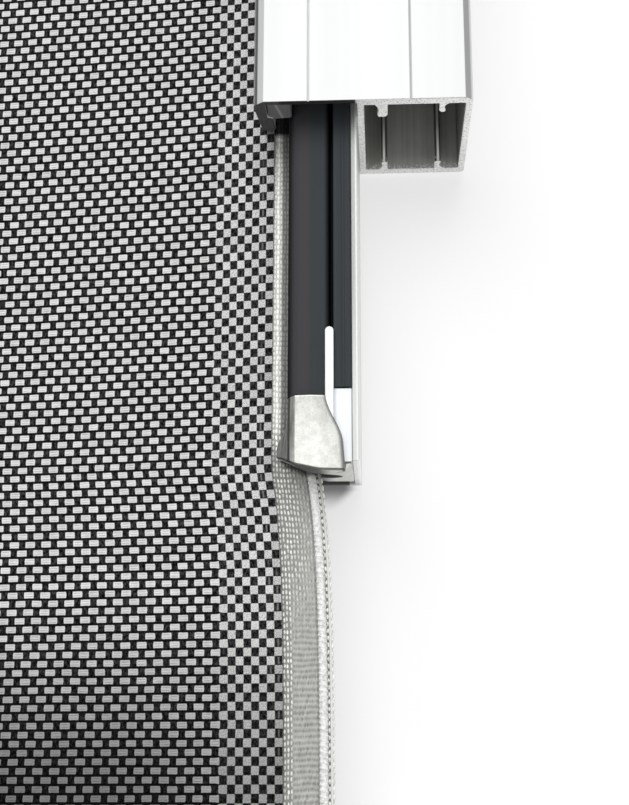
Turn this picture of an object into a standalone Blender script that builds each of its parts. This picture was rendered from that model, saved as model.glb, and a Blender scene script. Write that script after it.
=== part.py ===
"""Outdoor roller blind with a zip guided screen, modelled piece by piece.

The blind hangs on a wall at y = 0 and faces -Y. The origin is on the wall, behind the middle of
the left side channel. Most sizes are given as a designer would draw the upper corner: "out" runs
from the inner edge of a side channel towards its outer edge, "depth" runs from the wall towards
the room side of the blind, and z is the height.
"""

import math

import bmesh
import bpy
from mathutils import Matrix, Vector

FIT = 0.0003                    # gap between pieces that touch

# Opening and side channels
CLEAR_WIDTH = 0.520             # between the inner edges of the two channels
CHANNEL_LENGTH = 0.520
CHANNEL_WIDTH = 0.0404
CHANNEL_DEPTH = 0.0336
CHANNEL_WALL = 0.0013
CHAMBER_FACE = 0.0022           # thicker front and back of the screw chamber
GUIDE_SPACE = 0.0186            # room beside the closed screw chamber for the insert and its rail
FRONT_LIP = 0.012               # front and back lips leave the slot for the fabric
BACK_LIP = 0.0136
CHANNEL_ROUND = 0.0009
PORT_SHARE = 0.1615             # round screw ports beside the ribs, of the chamber's inside
RIB_THICKNESS = 0.0014
HOOK_THICKNESS = 0.0021
RIB_HEIGHT = 0.0035
HOOK_HEIGHT = 0.0050            # the longer rib by the front, next to the carrier
GROOVE_WIDTH = 0.0005           # fine lines that mark the drilling axes on the front
GROOVE_INSET = 0.0094

# Fixing of the channels
FIXING_INSET = 0.080            # from each end of the channel
WALL_SCREW_RADIUS = 0.0022
WALL_SCREW_HEAD_AIR = 0.00087   # between its head and the ribs
WALL_SCREW_HEAD = 0.0026
ACCESS_RADIUS = 0.0050
PLUG_FLANGE_RADIUS = 0.0060
PLUG_FLANGE = 0.0009
PLUG_STEM = 0.0040
CAP_PLATE = 0.0025              # foot cap under each channel
CAP_PLUG = 0.012

# Fabric, zip tape and zip coil
FABRIC_THICKNESS = 0.0006
FABRIC_OUT = 0.0019             # how far the fabric reaches into each channel
TAPE_THICKNESS = 0.0005
TAPE_WELD = 0.0094              # tape that lies behind the fabric's edge
COIL_OUT = 0.0097               # middle of the zip coil
COIL_RADIUS = 0.0014

# Carrier rail and guide insert
CARRIER_WALL = 0.0013
CARRIER_FOOT = 0.0026           # width of the foot beyond the wall
CARRIER_FOOT_HEIGHT = 0.0012
CARRIER_RIB = 0.0010            # rib that snaps into the insert
CARRIER_RIB_DROP = 0.0030       # the rib lies behind the fabric
CARRIER_REACH = 0.0675          # how far the carrier stands out of the channel
GUIDE_REACH = 0.0534            # how far the insert stands out of the channel
GUIDE_STEP = 0.0016             # the insert's slotted side is a little longer
GUIDE_OUT = 0.0053
GUIDE_SINK = 0.0067             # its front lies below the front of the channel
GUIDE_TOOTH_WIDTH = 0.0024      # leg of the insert that stands on the carrier's foot
GUIDE_BACK_RISE = 0.0028
GUIDE_LOWER_GAP = 0.0020        # the insert ends above the foot cap
GUIDE_SKIN = 0.0012             # wall of the insert's hollows
SLOT_GAP = 0.0022
COIL_CLEARANCE = 0.0013
TONGUE_GROOVE_OUT = 0.0132
TONGUE_GROOVE_WIDTH = 0.0011
TONGUE_GROOVE_DEPTH = 0.0038

# Inlet funnel
FUNNEL_REACH = 0.0692           # furthest point of its front rim above the channel
FUNNEL_PROUD = 0.0013           # front face above the insert
FUNNEL_FLARE = 0.0007           # more of the same at the rim
FUNNEL_SIDE_FLARE = 0.0036      # how far the front widens towards the carrier
FUNNEL_LIP_FLARE = 0.0021       # how far the slot's front lip turns towards the fabric
FUNNEL_SHOULDER = 0.0013        # from the insert's edge to the flat front face
FUNNEL_BOW = 0.0037             # curve of the rim
FUNNEL_SETBACK = 0.0017         # the back of the mouth ends below its front rim
FUNNEL_EDGE = 0.0003            # rounding of the rim
MOUTH_OUT = 0.0154              # far end of the widened coil chamber at the rim
MOUTH_GAP = 0.0052
FUNNEL_BACK_DROP = 0.0098       # the back of the mouth lies behind the fabric
FRONT_OUT = 0.0126              # right edge of the front face where it meets the insert
TONGUE_HEAD = 0.0016            # width of the tongue's head, which lies on the insert
TONGUE_HEAD_HEIGHT = 0.0006
TONGUE_REACH = 0.0112           # the tongue starts this far below the insert's end
WEB_DROP = 0.0005               # the flat web lies below the insert's front

# Front seal
SEAL_WIDTH = 0.0044
SEAL_HEIGHT = 0.0068

# Roller
TUBE_RADIUS = 0.0210
TUBE_WALL = 0.0015
TUBE_OUT = 0.0150               # tube ends, beyond the channels' inner edges
WRAP_THICKNESS = 0.0012
FREE_FABRIC = 0.0880            # from the funnel's rim up to the roller's axis
KEDER_RADIUS = 0.0017
KEDER_CLEARANCE = 0.0004
KEDER_SLOT = 0.0014
PLUG_FLANGE_WIDTH = 0.0022      # end flanges of the idler plug and drive adaptor
PLUG_DEPTH = 0.028              # how far both reach into the tube

# Idler
IDLER_PIN_RADIUS = 0.0040
IDLER_COLLAR_RADIUS = 0.0062
IDLER_COLLAR = 0.0030
IDLER_TRAVEL = 0.0080
BEARING_RADIUS = 0.0105
BEARING_WIDTH = 0.0062
RUNNING_FIT = 0.0003
SPRING_WIRE = 0.0005
SPRING_TURNS = 6

# Brackets
BRACKET_PLATE = 0.0025
BRACKET_HALF_HEIGHT = 0.027
BRACKET_FLANGE = 0.018
BRACKET_BEND = 0.0030
BRACKET_ROUND = 0.010
IDLER_BRACKET_OUT = 0.0220
BRACKET_SCREW_RADIUS = 0.0021
BRACKET_SCREW_HEAD_RADIUS = 0.0042
BRACKET_SCREW_HEAD = 0.0027
BRACKET_SCREW_SPREAD = 0.017
BRACKET_SLOT = 0.003            # slotted holes, beyond the screw's own width

# Crank gear
GEAR_OUT = 0.0186               # inner face of the gear housing
GEAR_WIDTH = 0.0182             # housing with its cover
GEAR_COVER = 0.0022
GEAR_WALL = 0.0022
GEAR_HALF_HEIGHT = 0.0190
GEAR_CORNER = 0.0040
GEAR_MODULE = 0.0016
WHEEL_TEETH = 14
WORM_STARTS = 2
WHEEL_FACE = 0.0080
WORM_PITCH_RADIUS = 0.0050
WORM_LENGTH = 0.0200
WORM_SHAFT_RADIUS = 0.0032
GEAR_AIR = 0.0007               # free room round the gears
TOOTH_SHARE = 0.40              # tooth thickness over pitch
HEX_FLATS = 0.0120
WHEEL_HUB_RADIUS = 0.0074
GEAR_SCREW_RADIUS = 0.0014
GEAR_SCREW_HEAD_RADIUS = 0.0028
GEAR_SCREW_HEAD = 0.0019
GEAR_SCREW_INSET = 0.0035
EYE_SHAFT_RADIUS = 0.0042
EYE_NECK = 0.0085
EYE_RADIUS = 0.0095
EYE_WIRE = 0.0024

# Bottom bar
BAR_HEIGHT = 0.038
BAR_DEPTH = 0.013
BAR_WALL = 0.0013
BAR_ROUND = 0.0020
BAR_GAP = 0.0040                # between the bar's ends and the channels
SEAL_DROP = 0.008               # the bar hangs this far above the channels' lower ends
TOP_MARGIN = 0.008              # and stops this far below their upper ends
BAR_CAP_FLANGE = 0.0030
BAR_TONGUE = 0.0080             # guide tongue that runs in the channel's slot
BAR_TONGUE_THICKNESS = 0.0056
WEIGHT_CLEARANCE = 0.0006
SEAL_SLOT_MOUTH = 0.0030
SEAL_SLOT_WIDTH = 0.0064
SEAL_SLOT_HEIGHT = 0.0022
SEAL_LIP = 0.0060

# Places that follow from the sizes above
CHAMBER_OUT = GUIDE_SPACE
CHAMBER_MIDDLE = (CHAMBER_OUT + CHANNEL_WIDTH) / 2
CHAMBER_INSIDE = CHANNEL_WIDTH - CHAMBER_OUT - 2 * CHANNEL_WALL
PORT_WIDTH = PORT_SHARE * CHAMBER_INSIDE
RIBS_CLEAR = CHAMBER_INSIDE - 2.15 * PORT_WIDTH - 2 * RIB_THICKNESS
WALL_SCREW_HEAD_RADIUS = RIBS_CLEAR / 2 - WALL_SCREW_HEAD_AIR
CENTER_X = CLEAR_WIDTH / 2 + CHAMBER_MIDDLE
CHANNEL_TOP = CHANNEL_LENGTH / 2
CHANNEL_BOTTOM = -CHANNEL_TOP
FABRIC_DEPTH = (BACK_LIP + CHANNEL_DEPTH - FRONT_LIP) / 2
TAPE_DEPTH = FABRIC_DEPTH - FABRIC_THICKNESS / 2 - FIT - TAPE_THICKNESS / 2
CARRIER_BACK = CHANNEL_WALL + FIT
CARRIER_RIB_DEPTH = FABRIC_DEPTH - CARRIER_RIB_DROP
FUNNEL_BACK = FABRIC_DEPTH - FUNNEL_BACK_DROP
CARRIER_OUT = CHAMBER_OUT - FIT - CARRIER_WALL
GUIDE_BACK = CARRIER_BACK + CARRIER_FOOT_HEIGHT + FIT
GUIDE_FRONT = CHANNEL_DEPTH - GUIDE_SINK
GUIDE_RIGHT = CARRIER_OUT - FIT
GUIDE_TOP = CHANNEL_TOP + GUIDE_REACH
COIL_CHAMBER = COIL_RADIUS + COIL_CLEARANCE
ROLL_RADIUS = TUBE_RADIUS + FIT + WRAP_THICKNESS
ROLLER_DEPTH = FABRIC_DEPTH + FABRIC_THICKNESS / 2 + FIT + ROLL_RADIUS
ROLLER_Z = CHANNEL_TOP + FUNNEL_REACH + FREE_FABRIC
GEAR_END = GEAR_OUT + GEAR_WIDTH
WHEEL_RADIUS = GEAR_MODULE * WHEEL_TEETH / 2
TOOTH_PITCH = math.pi * GEAR_MODULE
GEAR_CENTRES = WHEEL_RADIUS + WORM_PITCH_RADIUS
GEAR_MIDDLE = (GEAR_OUT + GEAR_WALL + GEAR_END - GEAR_COVER) / 2
WORM_DEPTH = ROLLER_DEPTH + GEAR_CENTRES
WORM_LEAD = TOOTH_PITCH * WORM_STARTS
BAR_BOTTOM = CHANNEL_BOTTOM + SEAL_DROP
BAR_TOP = BAR_BOTTOM + BAR_HEIGHT
BAR_HALF = CLEAR_WIDTH / 2 - BAR_GAP
BAR_KEDER_Z = BAR_TOP - BAR_WALL - KEDER_RADIUS - KEDER_CLEARANCE
FIXINGS = ((CHANNEL_TOP - FIXING_INSET, "upper"), (CHANNEL_BOTTOM + FIXING_INSET, "lower"))

LEFT, RIGHT = -1, 1
SIDES = ((LEFT, "left"), (RIGHT, "right"))


def material(name, colour, roughness, metallic=0.0):
    """One plain surface; colours are linear values."""
    made = bpy.data.materials.new(name)
    made.use_nodes = True
    shader = made.node_tree.nodes["Principled BSDF"]
    shader.inputs["Base Color"].default_value = (*colour, 1.0)
    shader.inputs["Roughness"].default_value = roughness
    shader.inputs["Metallic"].default_value = metallic
    made.diffuse_color = (*colour, 1.0)
    return made


def at(side, out, depth, z):
    """World place of a point that is drawn beside one of the channels."""
    return Vector((CENTER_X + side * (CLEAR_WIDTH / 2 + out), -depth, z))


def fillet(corners, steps=4):
    """Outline from (x, y, radius) corners, each rounded with a short arc."""
    points = []
    for index, (x, y, radius) in enumerate(corners):
        corner = Vector((x, y))
        before = Vector(corners[index - 1][:2]) - corner
        after = Vector(corners[(index + 1) % len(corners)][:2]) - corner
        if radius <= 0:
            points.append((x, y))
            continue
        half = before.angle(after) / 2
        cut = min(radius / math.tan(half), 0.48 * before.length, 0.48 * after.length)
        centre = corner + (before.normalized() + after.normalized()).normalized() * cut / math.cos(half)
        first = corner + before.normalized() * cut - centre
        last = corner + after.normalized() * cut - centre
        start = math.atan2(first.y, first.x)
        turn = (math.atan2(last.y, last.x) - start + math.pi) % (2 * math.pi) - math.pi
        points += arc(centre.x, centre.y, first.length, start, start + turn, steps)
    return points


def arc(x, y, radius, start, end, steps):
    """Points on a circle, from one angle to another."""
    angles = (start + (end - start) * step / steps for step in range(steps + 1))
    return [(x + radius * math.cos(angle), y + radius * math.sin(angle)) for angle in angles]


def circle(x, y, radius, steps):
    return arc(x, y, radius, 0, 2 * math.pi, steps)[:-1]


def box_outline(x0, x1, y0, y1, radius=0.0, steps=3):
    return fillet([(x0, y0, radius), (x1, y0, radius), (x1, y1, radius), (x0, y1, radius)], steps)


def prism(loops, place, start, end):
    """Closed body between two planes: the first loop is the outline, the others are holes.

    place(u, v, w) gives the world point of a loop point (u, v) at the distance w.
    """
    body = bmesh.new()
    edges = []
    for loop in loops:
        ring = [body.verts.new(place(u, v, start)) for u, v in loop]
        edges += [body.edges.new((ring[i - 1], ring[i])) for i in range(len(ring))]
    filled = bmesh.ops.triangle_fill(body, use_beauty=True, use_dissolve=False, edges=edges)
    faces = [item for item in filled["geom"] if isinstance(item, bmesh.types.BMFace)]
    grown = bmesh.ops.extrude_face_region(body, geom=faces, use_keep_orig=True)
    moved = [item for item in grown["geom"] if isinstance(item, bmesh.types.BMVert)]
    bmesh.ops.translate(body, verts=moved, vec=place(0, 0, end) - place(0, 0, start))
    bmesh.ops.recalc_face_normals(body, faces=body.faces)
    return body


def upright(side, loops, bottom, top):
    """Prism along z whose loops are drawn as (out, depth) beside one channel."""
    return prism(loops, lambda out, depth, z: at(side, out, depth, z), bottom, top)


def crosswise(loops, start, end):
    """Prism along x whose loops are drawn as (depth, z)."""
    return prism(loops, lambda depth, z, x: Vector((x, -depth, z)), start, end)


def turned(profile, origin, axis, steps=32, closed=False):
    """Revolved body: the profile lists (distance along the axis, radius)."""
    body = bmesh.new()
    axis = Vector(axis).normalized()
    across = axis.orthogonal().normalized()
    rim = [body.verts.new(Vector(origin) + axis * along + across * radius) for along, radius in profile]
    edges = [body.edges.new((rim[i], rim[i + 1])) for i in range(len(rim) - 1)]
    if closed:
        edges.append(body.edges.new((rim[-1], rim[0])))
    bmesh.ops.spin(body, geom=rim + edges, cent=origin, axis=axis, angle=2 * math.pi, steps=steps,
                   use_merge=True)
    bmesh.ops.remove_doubles(body, verts=body.verts, dist=1e-6)
    bmesh.ops.recalc_face_normals(body, faces=body.faces)
    return body


def swept_rings(rings, looped=False):
    """Closed body through rings of equal length, capped at both ends unless it meets itself."""
    body = bmesh.new()
    rows = [[body.verts.new(point) for point in ring] for ring in rings]
    count = len(rows[0])
    for index in range(len(rows) if looped else len(rows) - 1):
        low, high = rows[index], rows[(index + 1) % len(rows)]
        for i in range(count):
            j = (i + 1) % count
            body.faces.new((low[i], low[j], high[j], high[i]))
    if not looped:
        for row in (rows[0], rows[-1]):
            edges = [body.edges.get((row[i - 1], row[i])) for i in range(count)]
            bmesh.ops.triangle_fill(body, use_beauty=True, use_dissolve=False, edges=edges)
    bmesh.ops.recalc_face_normals(body, faces=body.faces)
    return body


def wire_ring(centre, radius, wire, axis, steps=24, sides=8):
    """Ring of round wire about an axis."""
    axis = Vector(axis).normalized()
    across = axis.orthogonal().normalized()
    rings = []
    for step in range(steps):
        spoke = Matrix.Rotation(2 * math.pi * step / steps, 3, axis) @ across
        rings.append([centre + spoke * (radius + wire * math.cos(a)) + axis * wire * math.sin(a)
                      for a in (2 * math.pi * k / sides for k in range(sides))])
    return swept_rings(rings, looped=True)


def piece(name, body, surface, parent=None, sharp=32):
    """Object with its origin on its parent's place, or in its own middle."""
    mesh = bpy.data.meshes.new(name)
    body.to_mesh(mesh)
    body.free()
    if parent:
        origin = parent.location
    else:
        origin = sum((vertex.co for vertex in mesh.vertices), Vector()) / len(mesh.vertices)
    origin = origin.copy()
    mesh.transform(Matrix.Translation(-origin))
    mesh.materials.append(surface)
    made = bpy.data.objects.new(name, mesh)
    bpy.context.scene.collection.objects.link(made)
    if parent:
        made.parent = parent
    else:
        made.location = origin
    mesh.shade_smooth()
    mesh.set_sharp_from_angle(angle=math.radians(sharp))
    return made


def tool(target, body, operation="DIFFERENCE"):
    """Cut or join a helper body; the helper itself is only a guide."""
    mesh = bpy.data.meshes.new(target.name + "_tool")
    body.to_mesh(mesh)
    body.free()
    helper = bpy.data.objects.new(mesh.name, mesh)
    bpy.context.scene.collection.objects.link(helper)
    helper.hide_render = True
    helper.display_type = "WIRE"
    change = target.modifiers.new(mesh.name, "BOOLEAN")
    change.operation = operation
    change.solver = "EXACT"
    change.object = helper


def empty(name, location):
    made = bpy.data.objects.new(name, None)
    made.location = location
    made.empty_display_size = 0.02
    bpy.context.scene.collection.objects.link(made)
    return made


def groove(place, width, face):
    """Fine V groove in a straight face, drawn towards smaller places."""
    return [(place + width / 2, face, 0), (place, face - width * 0.6, 0), (place - width / 2, face, 0)]


def channel_loops():
    """Section of the side channel, with its closed chamber as a hole."""
    width, depth, wall = CHANNEL_WIDTH, CHANNEL_DEPTH, CHANNEL_WALL
    r = CHANNEL_ROUND
    lip = depth - FRONT_LIP
    outline = [(0, 0, r), (width, 0, r), (width, depth, r)]
    outline += groove(CHAMBER_MIDDLE, GROOVE_WIDTH, depth) + groove(GROOVE_INSET, GROOVE_WIDTH, depth)
    outline += [(0, depth, r), (0, lip, wall * 0.4), (wall, lip, wall * 0.4), (wall, depth - wall, wall * 0.3),
                (CHAMBER_OUT, depth - wall, 0), (CHAMBER_OUT, wall, 0), (wall, wall, wall * 0.3),
                (wall, BACK_LIP, wall * 0.4), (0, BACK_LIP, wall * 0.4)]

    left, right = CHAMBER_OUT + wall, width - wall
    low, high = CHAMBER_FACE, depth - CHAMBER_FACE
    near = left + PORT_WIDTH + RIB_THICKNESS
    far = right - PORT_WIDTH * 1.15 - RIB_THICKNESS

    def rib(height, thickness, plain, direction, base):
        """Rib on the chamber's front or back, hollowed on the flank towards its screw port."""
        port_face = plain - direction * thickness
        tip = base + (height if base == low else -height)
        rise = tip - base
        waist = port_face + direction * 0.0004
        return [(port_face - direction * 0.0004, base, 0), (waist - direction * 0.0002, base + 0.25 * rise, 0),
                (waist, base + 0.5 * rise, 0), (waist - direction * 0.0003, base + 0.8 * rise, 0),
                (waist - direction * 0.0001, tip, 0), (plain - direction * 0.0004, tip, 0),
                (plain, base + 0.85 * rise, 0), (plain, base, 0)]

    chamber = [(left, low, 0)]
    chamber += rib(RIB_HEIGHT, RIB_THICKNESS, near, 1, low)
    chamber += rib(RIB_HEIGHT, RIB_THICKNESS, far, -1, low)[::-1]
    chamber += [(right, low, 0), (right, high, 0)]
    chamber += rib(RIB_HEIGHT, RIB_THICKNESS, far, -1, high)
    chamber += rib(HOOK_HEIGHT, HOOK_THICKNESS, near, 1, high)[::-1]
    chamber += [(left, high, 0)]
    return fillet(outline, 3), fillet(chamber)


def side_channels(surface):
    for side, word in SIDES:
        channel = piece("side_channel_" + word,
                        upright(side, channel_loops(), CHANNEL_BOTTOM, CHANNEL_TOP), surface)
        for height, _ in FIXINGS:
            middle = at(side, CHAMBER_MIDDLE, 0, height)
            for start, end, radius in ((-CHAMBER_FACE, 2 * CHAMBER_FACE, WALL_SCREW_RADIUS + FIT),
                                       (CHANNEL_DEPTH - 2 * CHAMBER_FACE, CHANNEL_DEPTH + CHAMBER_FACE,
                                        ACCESS_RADIUS)):
                tool(channel, turned([(start, 0), (start, radius), (end, radius), (end, 0)],
                                     middle, (0, -1, 0), 20))


def fixings(steel, plastic):
    """Wall screws inside the chamber and the plugs that cover their access holes."""
    seat = CHAMBER_FACE + FIT
    top = seat + WALL_SCREW_HEAD
    face = CHANNEL_DEPTH + FIT
    screw = [(FIT, 0), (FIT, WALL_SCREW_RADIUS), (seat, WALL_SCREW_RADIUS), (seat, WALL_SCREW_HEAD_RADIUS),
             (top - 0.0010, WALL_SCREW_HEAD_RADIUS), (top, WALL_SCREW_HEAD_RADIUS * 0.6),
             (top - 0.0012, 0)]
    plug = [(face - PLUG_STEM, 0), (face - PLUG_STEM, ACCESS_RADIUS - 3 * FIT), (face, ACCESS_RADIUS - FIT),
            (face, PLUG_FLANGE_RADIUS), (face + PLUG_FLANGE * 0.5, PLUG_FLANGE_RADIUS),
            (face + PLUG_FLANGE, PLUG_FLANGE_RADIUS * 0.8), (face + PLUG_FLANGE, 0)]
    for side, word in SIDES:
        for height, level in FIXINGS:
            middle = at(side, CHAMBER_MIDDLE, 0, height)
            piece(f"wall_screw_{word}_{level}", turned(screw, middle, (0, -1, 0), 12), steel)
            piece(f"cover_plug_{word}_{level}", turned(plug, middle, (0, -1, 0), 16), plastic)


def carriers(surface):
    """Thin rail that holds the guide insert and stands out of the channel."""
    rib_out = CARRIER_OUT - CARRIER_RIB
    back, top = CARRIER_BACK, GUIDE_FRONT - FIT
    loop = [(CARRIER_OUT - CARRIER_FOOT, back, 0.0003), (CARRIER_OUT + CARRIER_WALL, back, 0),
            (CARRIER_OUT + CARRIER_WALL, top, 0.0003), (CARRIER_OUT, top, 0.0003),
            (CARRIER_OUT, CARRIER_RIB_DEPTH + CARRIER_RIB, 0), (rib_out, CARRIER_RIB_DEPTH + CARRIER_RIB, 0.0002),
            (rib_out, CARRIER_RIB_DEPTH, 0.0002), (CARRIER_OUT, CARRIER_RIB_DEPTH, 0),
            (CARRIER_OUT, back + CARRIER_FOOT_HEIGHT, 0),
            (CARRIER_OUT - CARRIER_FOOT, back + CARRIER_FOOT_HEIGHT, 0.0003)]
    for side, word in SIDES:
        piece("carrier_rail_" + word,
              upright(side, [fillet(loop, 2)], CHANNEL_BOTTOM + GUIDE_LOWER_GAP,
                      CHANNEL_TOP + CARRIER_REACH), surface)


def coil_chamber(out, depth, radius_out, radius_depth, gap, steps=12):
    """Inside of the zip slot, from its back lip round the coil's chamber to its front lip."""
    start = math.asin(min(gap / 2 / radius_depth, 0.9))
    angles = (math.pi + start + (2 * math.pi - 2 * start) * k / steps for k in range(steps + 1))
    return [(out + radius_out * math.cos(a), depth + radius_depth * math.sin(a)) for a in angles]


def guide_loops():
    """Section of the guide insert: zip slot, tongue groove, snap groove and two hollows."""
    left, right, back, front = GUIDE_OUT, GUIDE_RIGHT, GUIDE_BACK, GUIDE_FRONT
    groove_right = TONGUE_GROOVE_OUT + TONGUE_GROOVE_WIDTH
    groove_floor = front - TONGUE_GROOVE_DEPTH
    notch_low = CARRIER_RIB_DEPTH - FIT
    notch_high = CARRIER_RIB_DEPTH + CARRIER_RIB + FIT
    notch_out = CARRIER_OUT - CARRIER_RIB - FIT
    upper_lip = TAPE_DEPTH + SLOT_GAP / 2
    lower_lip = TAPE_DEPTH - SLOT_GAP / 2
    crown = [(left, upper_lip, 0.0003), (left, front - 0.0022, 0.0014), (left + 0.0016, front - 0.0003, 0.0020),
             (left + 0.0042, front, 0.0030), (TONGUE_GROOVE_OUT - 0.0008, front - 0.0002, 0.0009),
             (TONGUE_GROOVE_OUT, front - 0.0011, 0.0006)]
    rest = [(TONGUE_GROOVE_OUT, groove_floor, 0), (groove_right, groove_floor, 0), (groove_right, front, 0.0002),
            (right, front, 0.0003), (right, notch_high, 0), (notch_out, notch_high, 0),
            (notch_out, notch_low, 0), (right, notch_low, 0), (right, back, 0.0002),
            (right - GUIDE_TOOTH_WIDTH, back, 0.0002), (right - GUIDE_TOOTH_WIDTH, back + GUIDE_BACK_RISE, 0),
            (left + 0.0010, back + GUIDE_BACK_RISE, 0.0008), (left, lower_lip - 0.0040, 0.0008),
            (left, lower_lip, 0.0003)]
    outline = fillet(crown, 3) + fillet(rest, 2)
    outline += coil_chamber(COIL_OUT, TAPE_DEPTH, COIL_CHAMBER, COIL_CHAMBER, SLOT_GAP)
    skin = GUIDE_SKIN
    chamber_front, chamber_back = TAPE_DEPTH + COIL_CHAMBER, TAPE_DEPTH - COIL_CHAMBER
    front_hollow = box_outline(left + skin + 0.0004, TONGUE_GROOVE_OUT - skin,
                               chamber_front + skin, front - 2.0 * skin, 0.0006, 2)
    back_hollow = box_outline(left + skin + 0.0006, notch_out - skin,
                              back + GUIDE_BACK_RISE + skin, chamber_back - skin, 0.0006, 2)
    return outline, front_hollow, back_hollow


def guides(surface):
    for side, word in SIDES:
        bottom = CHANNEL_BOTTOM + GUIDE_LOWER_GAP
        guide = piece("zip_guide_" + word,
                      upright(side, guide_loops(), bottom, GUIDE_TOP + GUIDE_STEP), surface)
        strip = box_outline(TONGUE_GROOVE_OUT + TONGUE_GROOVE_WIDTH / 2 - FIT / 2, GUIDE_RIGHT + 2 * FIT,
                            0, GUIDE_FRONT + 2 * FIT)
        tool(guide, upright(side, [strip], GUIDE_TOP, GUIDE_TOP + 2 * GUIDE_STEP))


def smooth(value):
    value = min(max(value, 0.0), 1.0)
    return value * value * (3 - 2 * value)


def funnel_section(t, edge):
    """Section of the inlet funnel as (out, depth) points; t runs from the insert to the rim.

    The front face widens in an S curve, the slot's front lip flares towards the fabric and the
    coil's chamber grows into the mouth. edge draws the skin inwards to round the rim.
    """
    front = GUIDE_FRONT + FUNNEL_PROUD + FUNNEL_FLARE * t
    web = GUIDE_FRONT - WEB_DROP
    wing = min(max((t - 0.22) / 0.60, 0.0), 1.0)
    lip = GUIDE_OUT - FUNNEL_LIP_FLARE * wing
    gap = SLOT_GAP + (MOUTH_GAP - SLOT_GAP) * smooth(t)
    middle = TAPE_DEPTH + 0.0008 * smooth(t)
    shoulder = GUIDE_OUT + FUNNEL_SHOULDER
    right = FRONT_OUT + FUNNEL_SIDE_FLARE * (0.78 * smooth(t / 0.55) + 0.22 * t)
    chamber_right = COIL_OUT + COIL_CHAMBER + (MOUTH_OUT - COIL_OUT - COIL_CHAMBER) * smooth(t)
    chamber_left = COIL_OUT - COIL_CHAMBER
    radius_out = (chamber_right - chamber_left) / 2
    lip_front = middle + gap / 2
    lip_back = middle - gap / 2
    flank = front - 0.0026
    outer = [(lip, lip_front), (lip - 0.0001 * wing, lip_front + 0.0010),
             (lip + (GUIDE_OUT - lip) * 0.55, (lip_front + flank) / 2 + 0.0004), (GUIDE_OUT + 0.0001, flank),
             (GUIDE_OUT + 0.0003, front - 0.0010), (shoulder - 0.0003, front - 0.0002),
             (shoulder, front), ((shoulder * 2 + right) / 3, front + 0.0001),
             ((shoulder + right * 2) / 3, front + 0.0001), (right - 0.0003, front), (right, front - 0.0003),
             (right, web + 0.0003), (right + 0.0002, web), (GUIDE_RIGHT, web),
             (GUIDE_RIGHT, FUNNEL_BACK), (GUIDE_RIGHT - 0.0050, FUNNEL_BACK),
             (GUIDE_OUT + 0.0030, FUNNEL_BACK + 0.0004), (lip + 0.0012, lip_back - 0.0034),
             (lip + 0.0002, lip_back - 0.0014), (lip, lip_back)]
    inner = coil_chamber((chamber_left + chamber_right) / 2, middle, radius_out,
                         max(COIL_CHAMBER, gap / 2 + 0.0004), gap, 14)
    loop = outer + inner
    if not edge:
        return loop
    moved = []
    for index, point in enumerate(loop):
        ahead = Vector(loop[(index + 1) % len(loop)]) - Vector(loop[index - 1])
        inward = Vector((ahead.y, -ahead.x)).normalized()
        moved.append(tuple(Vector(point) + inward * edge))
    return moved


def funnel_loft(side):
    """Skin of the funnel through its sections, with a bowed rim that stands above the flat end."""
    base = GUIDE_TOP + GUIDE_STEP + FIT
    top = CHANNEL_TOP + FUNNEL_REACH
    right = FRONT_OUT + FUNNEL_SIDE_FLARE
    left = GUIDE_OUT - FUNNEL_LIP_FLARE
    front = GUIDE_FRONT + FUNNEL_PROUD + FUNNEL_FLARE
    rings = []
    for share, edge in ((0, 0), (0.12, 0), (0.24, 0), (0.36, 0), (0.5, 0), (0.66, 0), (0.82, 0), (0.95, 0),
                        (0.985, 0.35 * FUNNEL_EDGE), (1.0, FUNNEL_EDGE)):
        ring = []
        for out, depth in funnel_section(share, edge):
            bow = FUNNEL_BOW * (max(right - out, 0) / (right - left)) ** 2
            setback = FUNNEL_SETBACK * max((front - depth) / (front - FUNNEL_BACK), smooth((out - right) / 0.0002))
            end = top - min(bow + setback, FUNNEL_BOW)
            ring.append(at(side, out, depth, base + (end - base) * share))
        rings.append(ring)
    return swept_rings(rings)


def funnels(surface):
    """Cast inlet funnels: flared scoop, flat web beside the carrier and tongue in the groove."""
    for side, word in SIDES:
        funnel = piece("inlet_funnel_" + word, funnel_loft(side), surface, sharp=40)
        stem_left = TONGUE_GROOVE_OUT + FIT
        stem_right = TONGUE_GROOVE_OUT + TONGUE_GROOVE_WIDTH - FIT
        web = [(stem_right - 0.0001, FUNNEL_BACK), (GUIDE_RIGHT, FUNNEL_BACK), (GUIDE_RIGHT, GUIDE_FRONT - WEB_DROP),
               (stem_right - 0.0001, GUIDE_FRONT - WEB_DROP)]
        tool(funnel, upright(side, [web], GUIDE_TOP + FIT, GUIDE_TOP + 2 * GUIDE_STEP), "UNION")
        tip = GUIDE_TOP - TONGUE_REACH
        root = GUIDE_TOP + 0.0085
        head_right = stem_right + 0.0001
        for left, right, low, high in (
                (stem_left, stem_right, GUIDE_FRONT - TONGUE_GROOVE_DEPTH + FIT, GUIDE_FRONT + FIT + 0.0002),
                (head_right - TONGUE_HEAD, head_right, GUIDE_FRONT + FIT, GUIDE_FRONT + FIT + TONGUE_HEAD_HEIGHT)):
            radius = (right - left) / 2
            middle = (left + right) / 2
            shape = [(right, root), (left, root)] + arc(middle, tip + radius, radius, math.pi, 2 * math.pi, 8)
            tool(funnel, prism([shape], lambda out, z, depth: at(side, out, depth, z), low, high), "UNION")
        rib_slot = box_outline(CARRIER_OUT - CARRIER_RIB - FIT, GUIDE_RIGHT + FIT, CARRIER_RIB_DEPTH - FIT,
                               CARRIER_RIB_DEPTH + CARRIER_RIB + FIT)
        tool(funnel, upright(side, [rib_slot], GUIDE_TOP - FIT, CHANNEL_TOP + FUNNEL_REACH))


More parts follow.
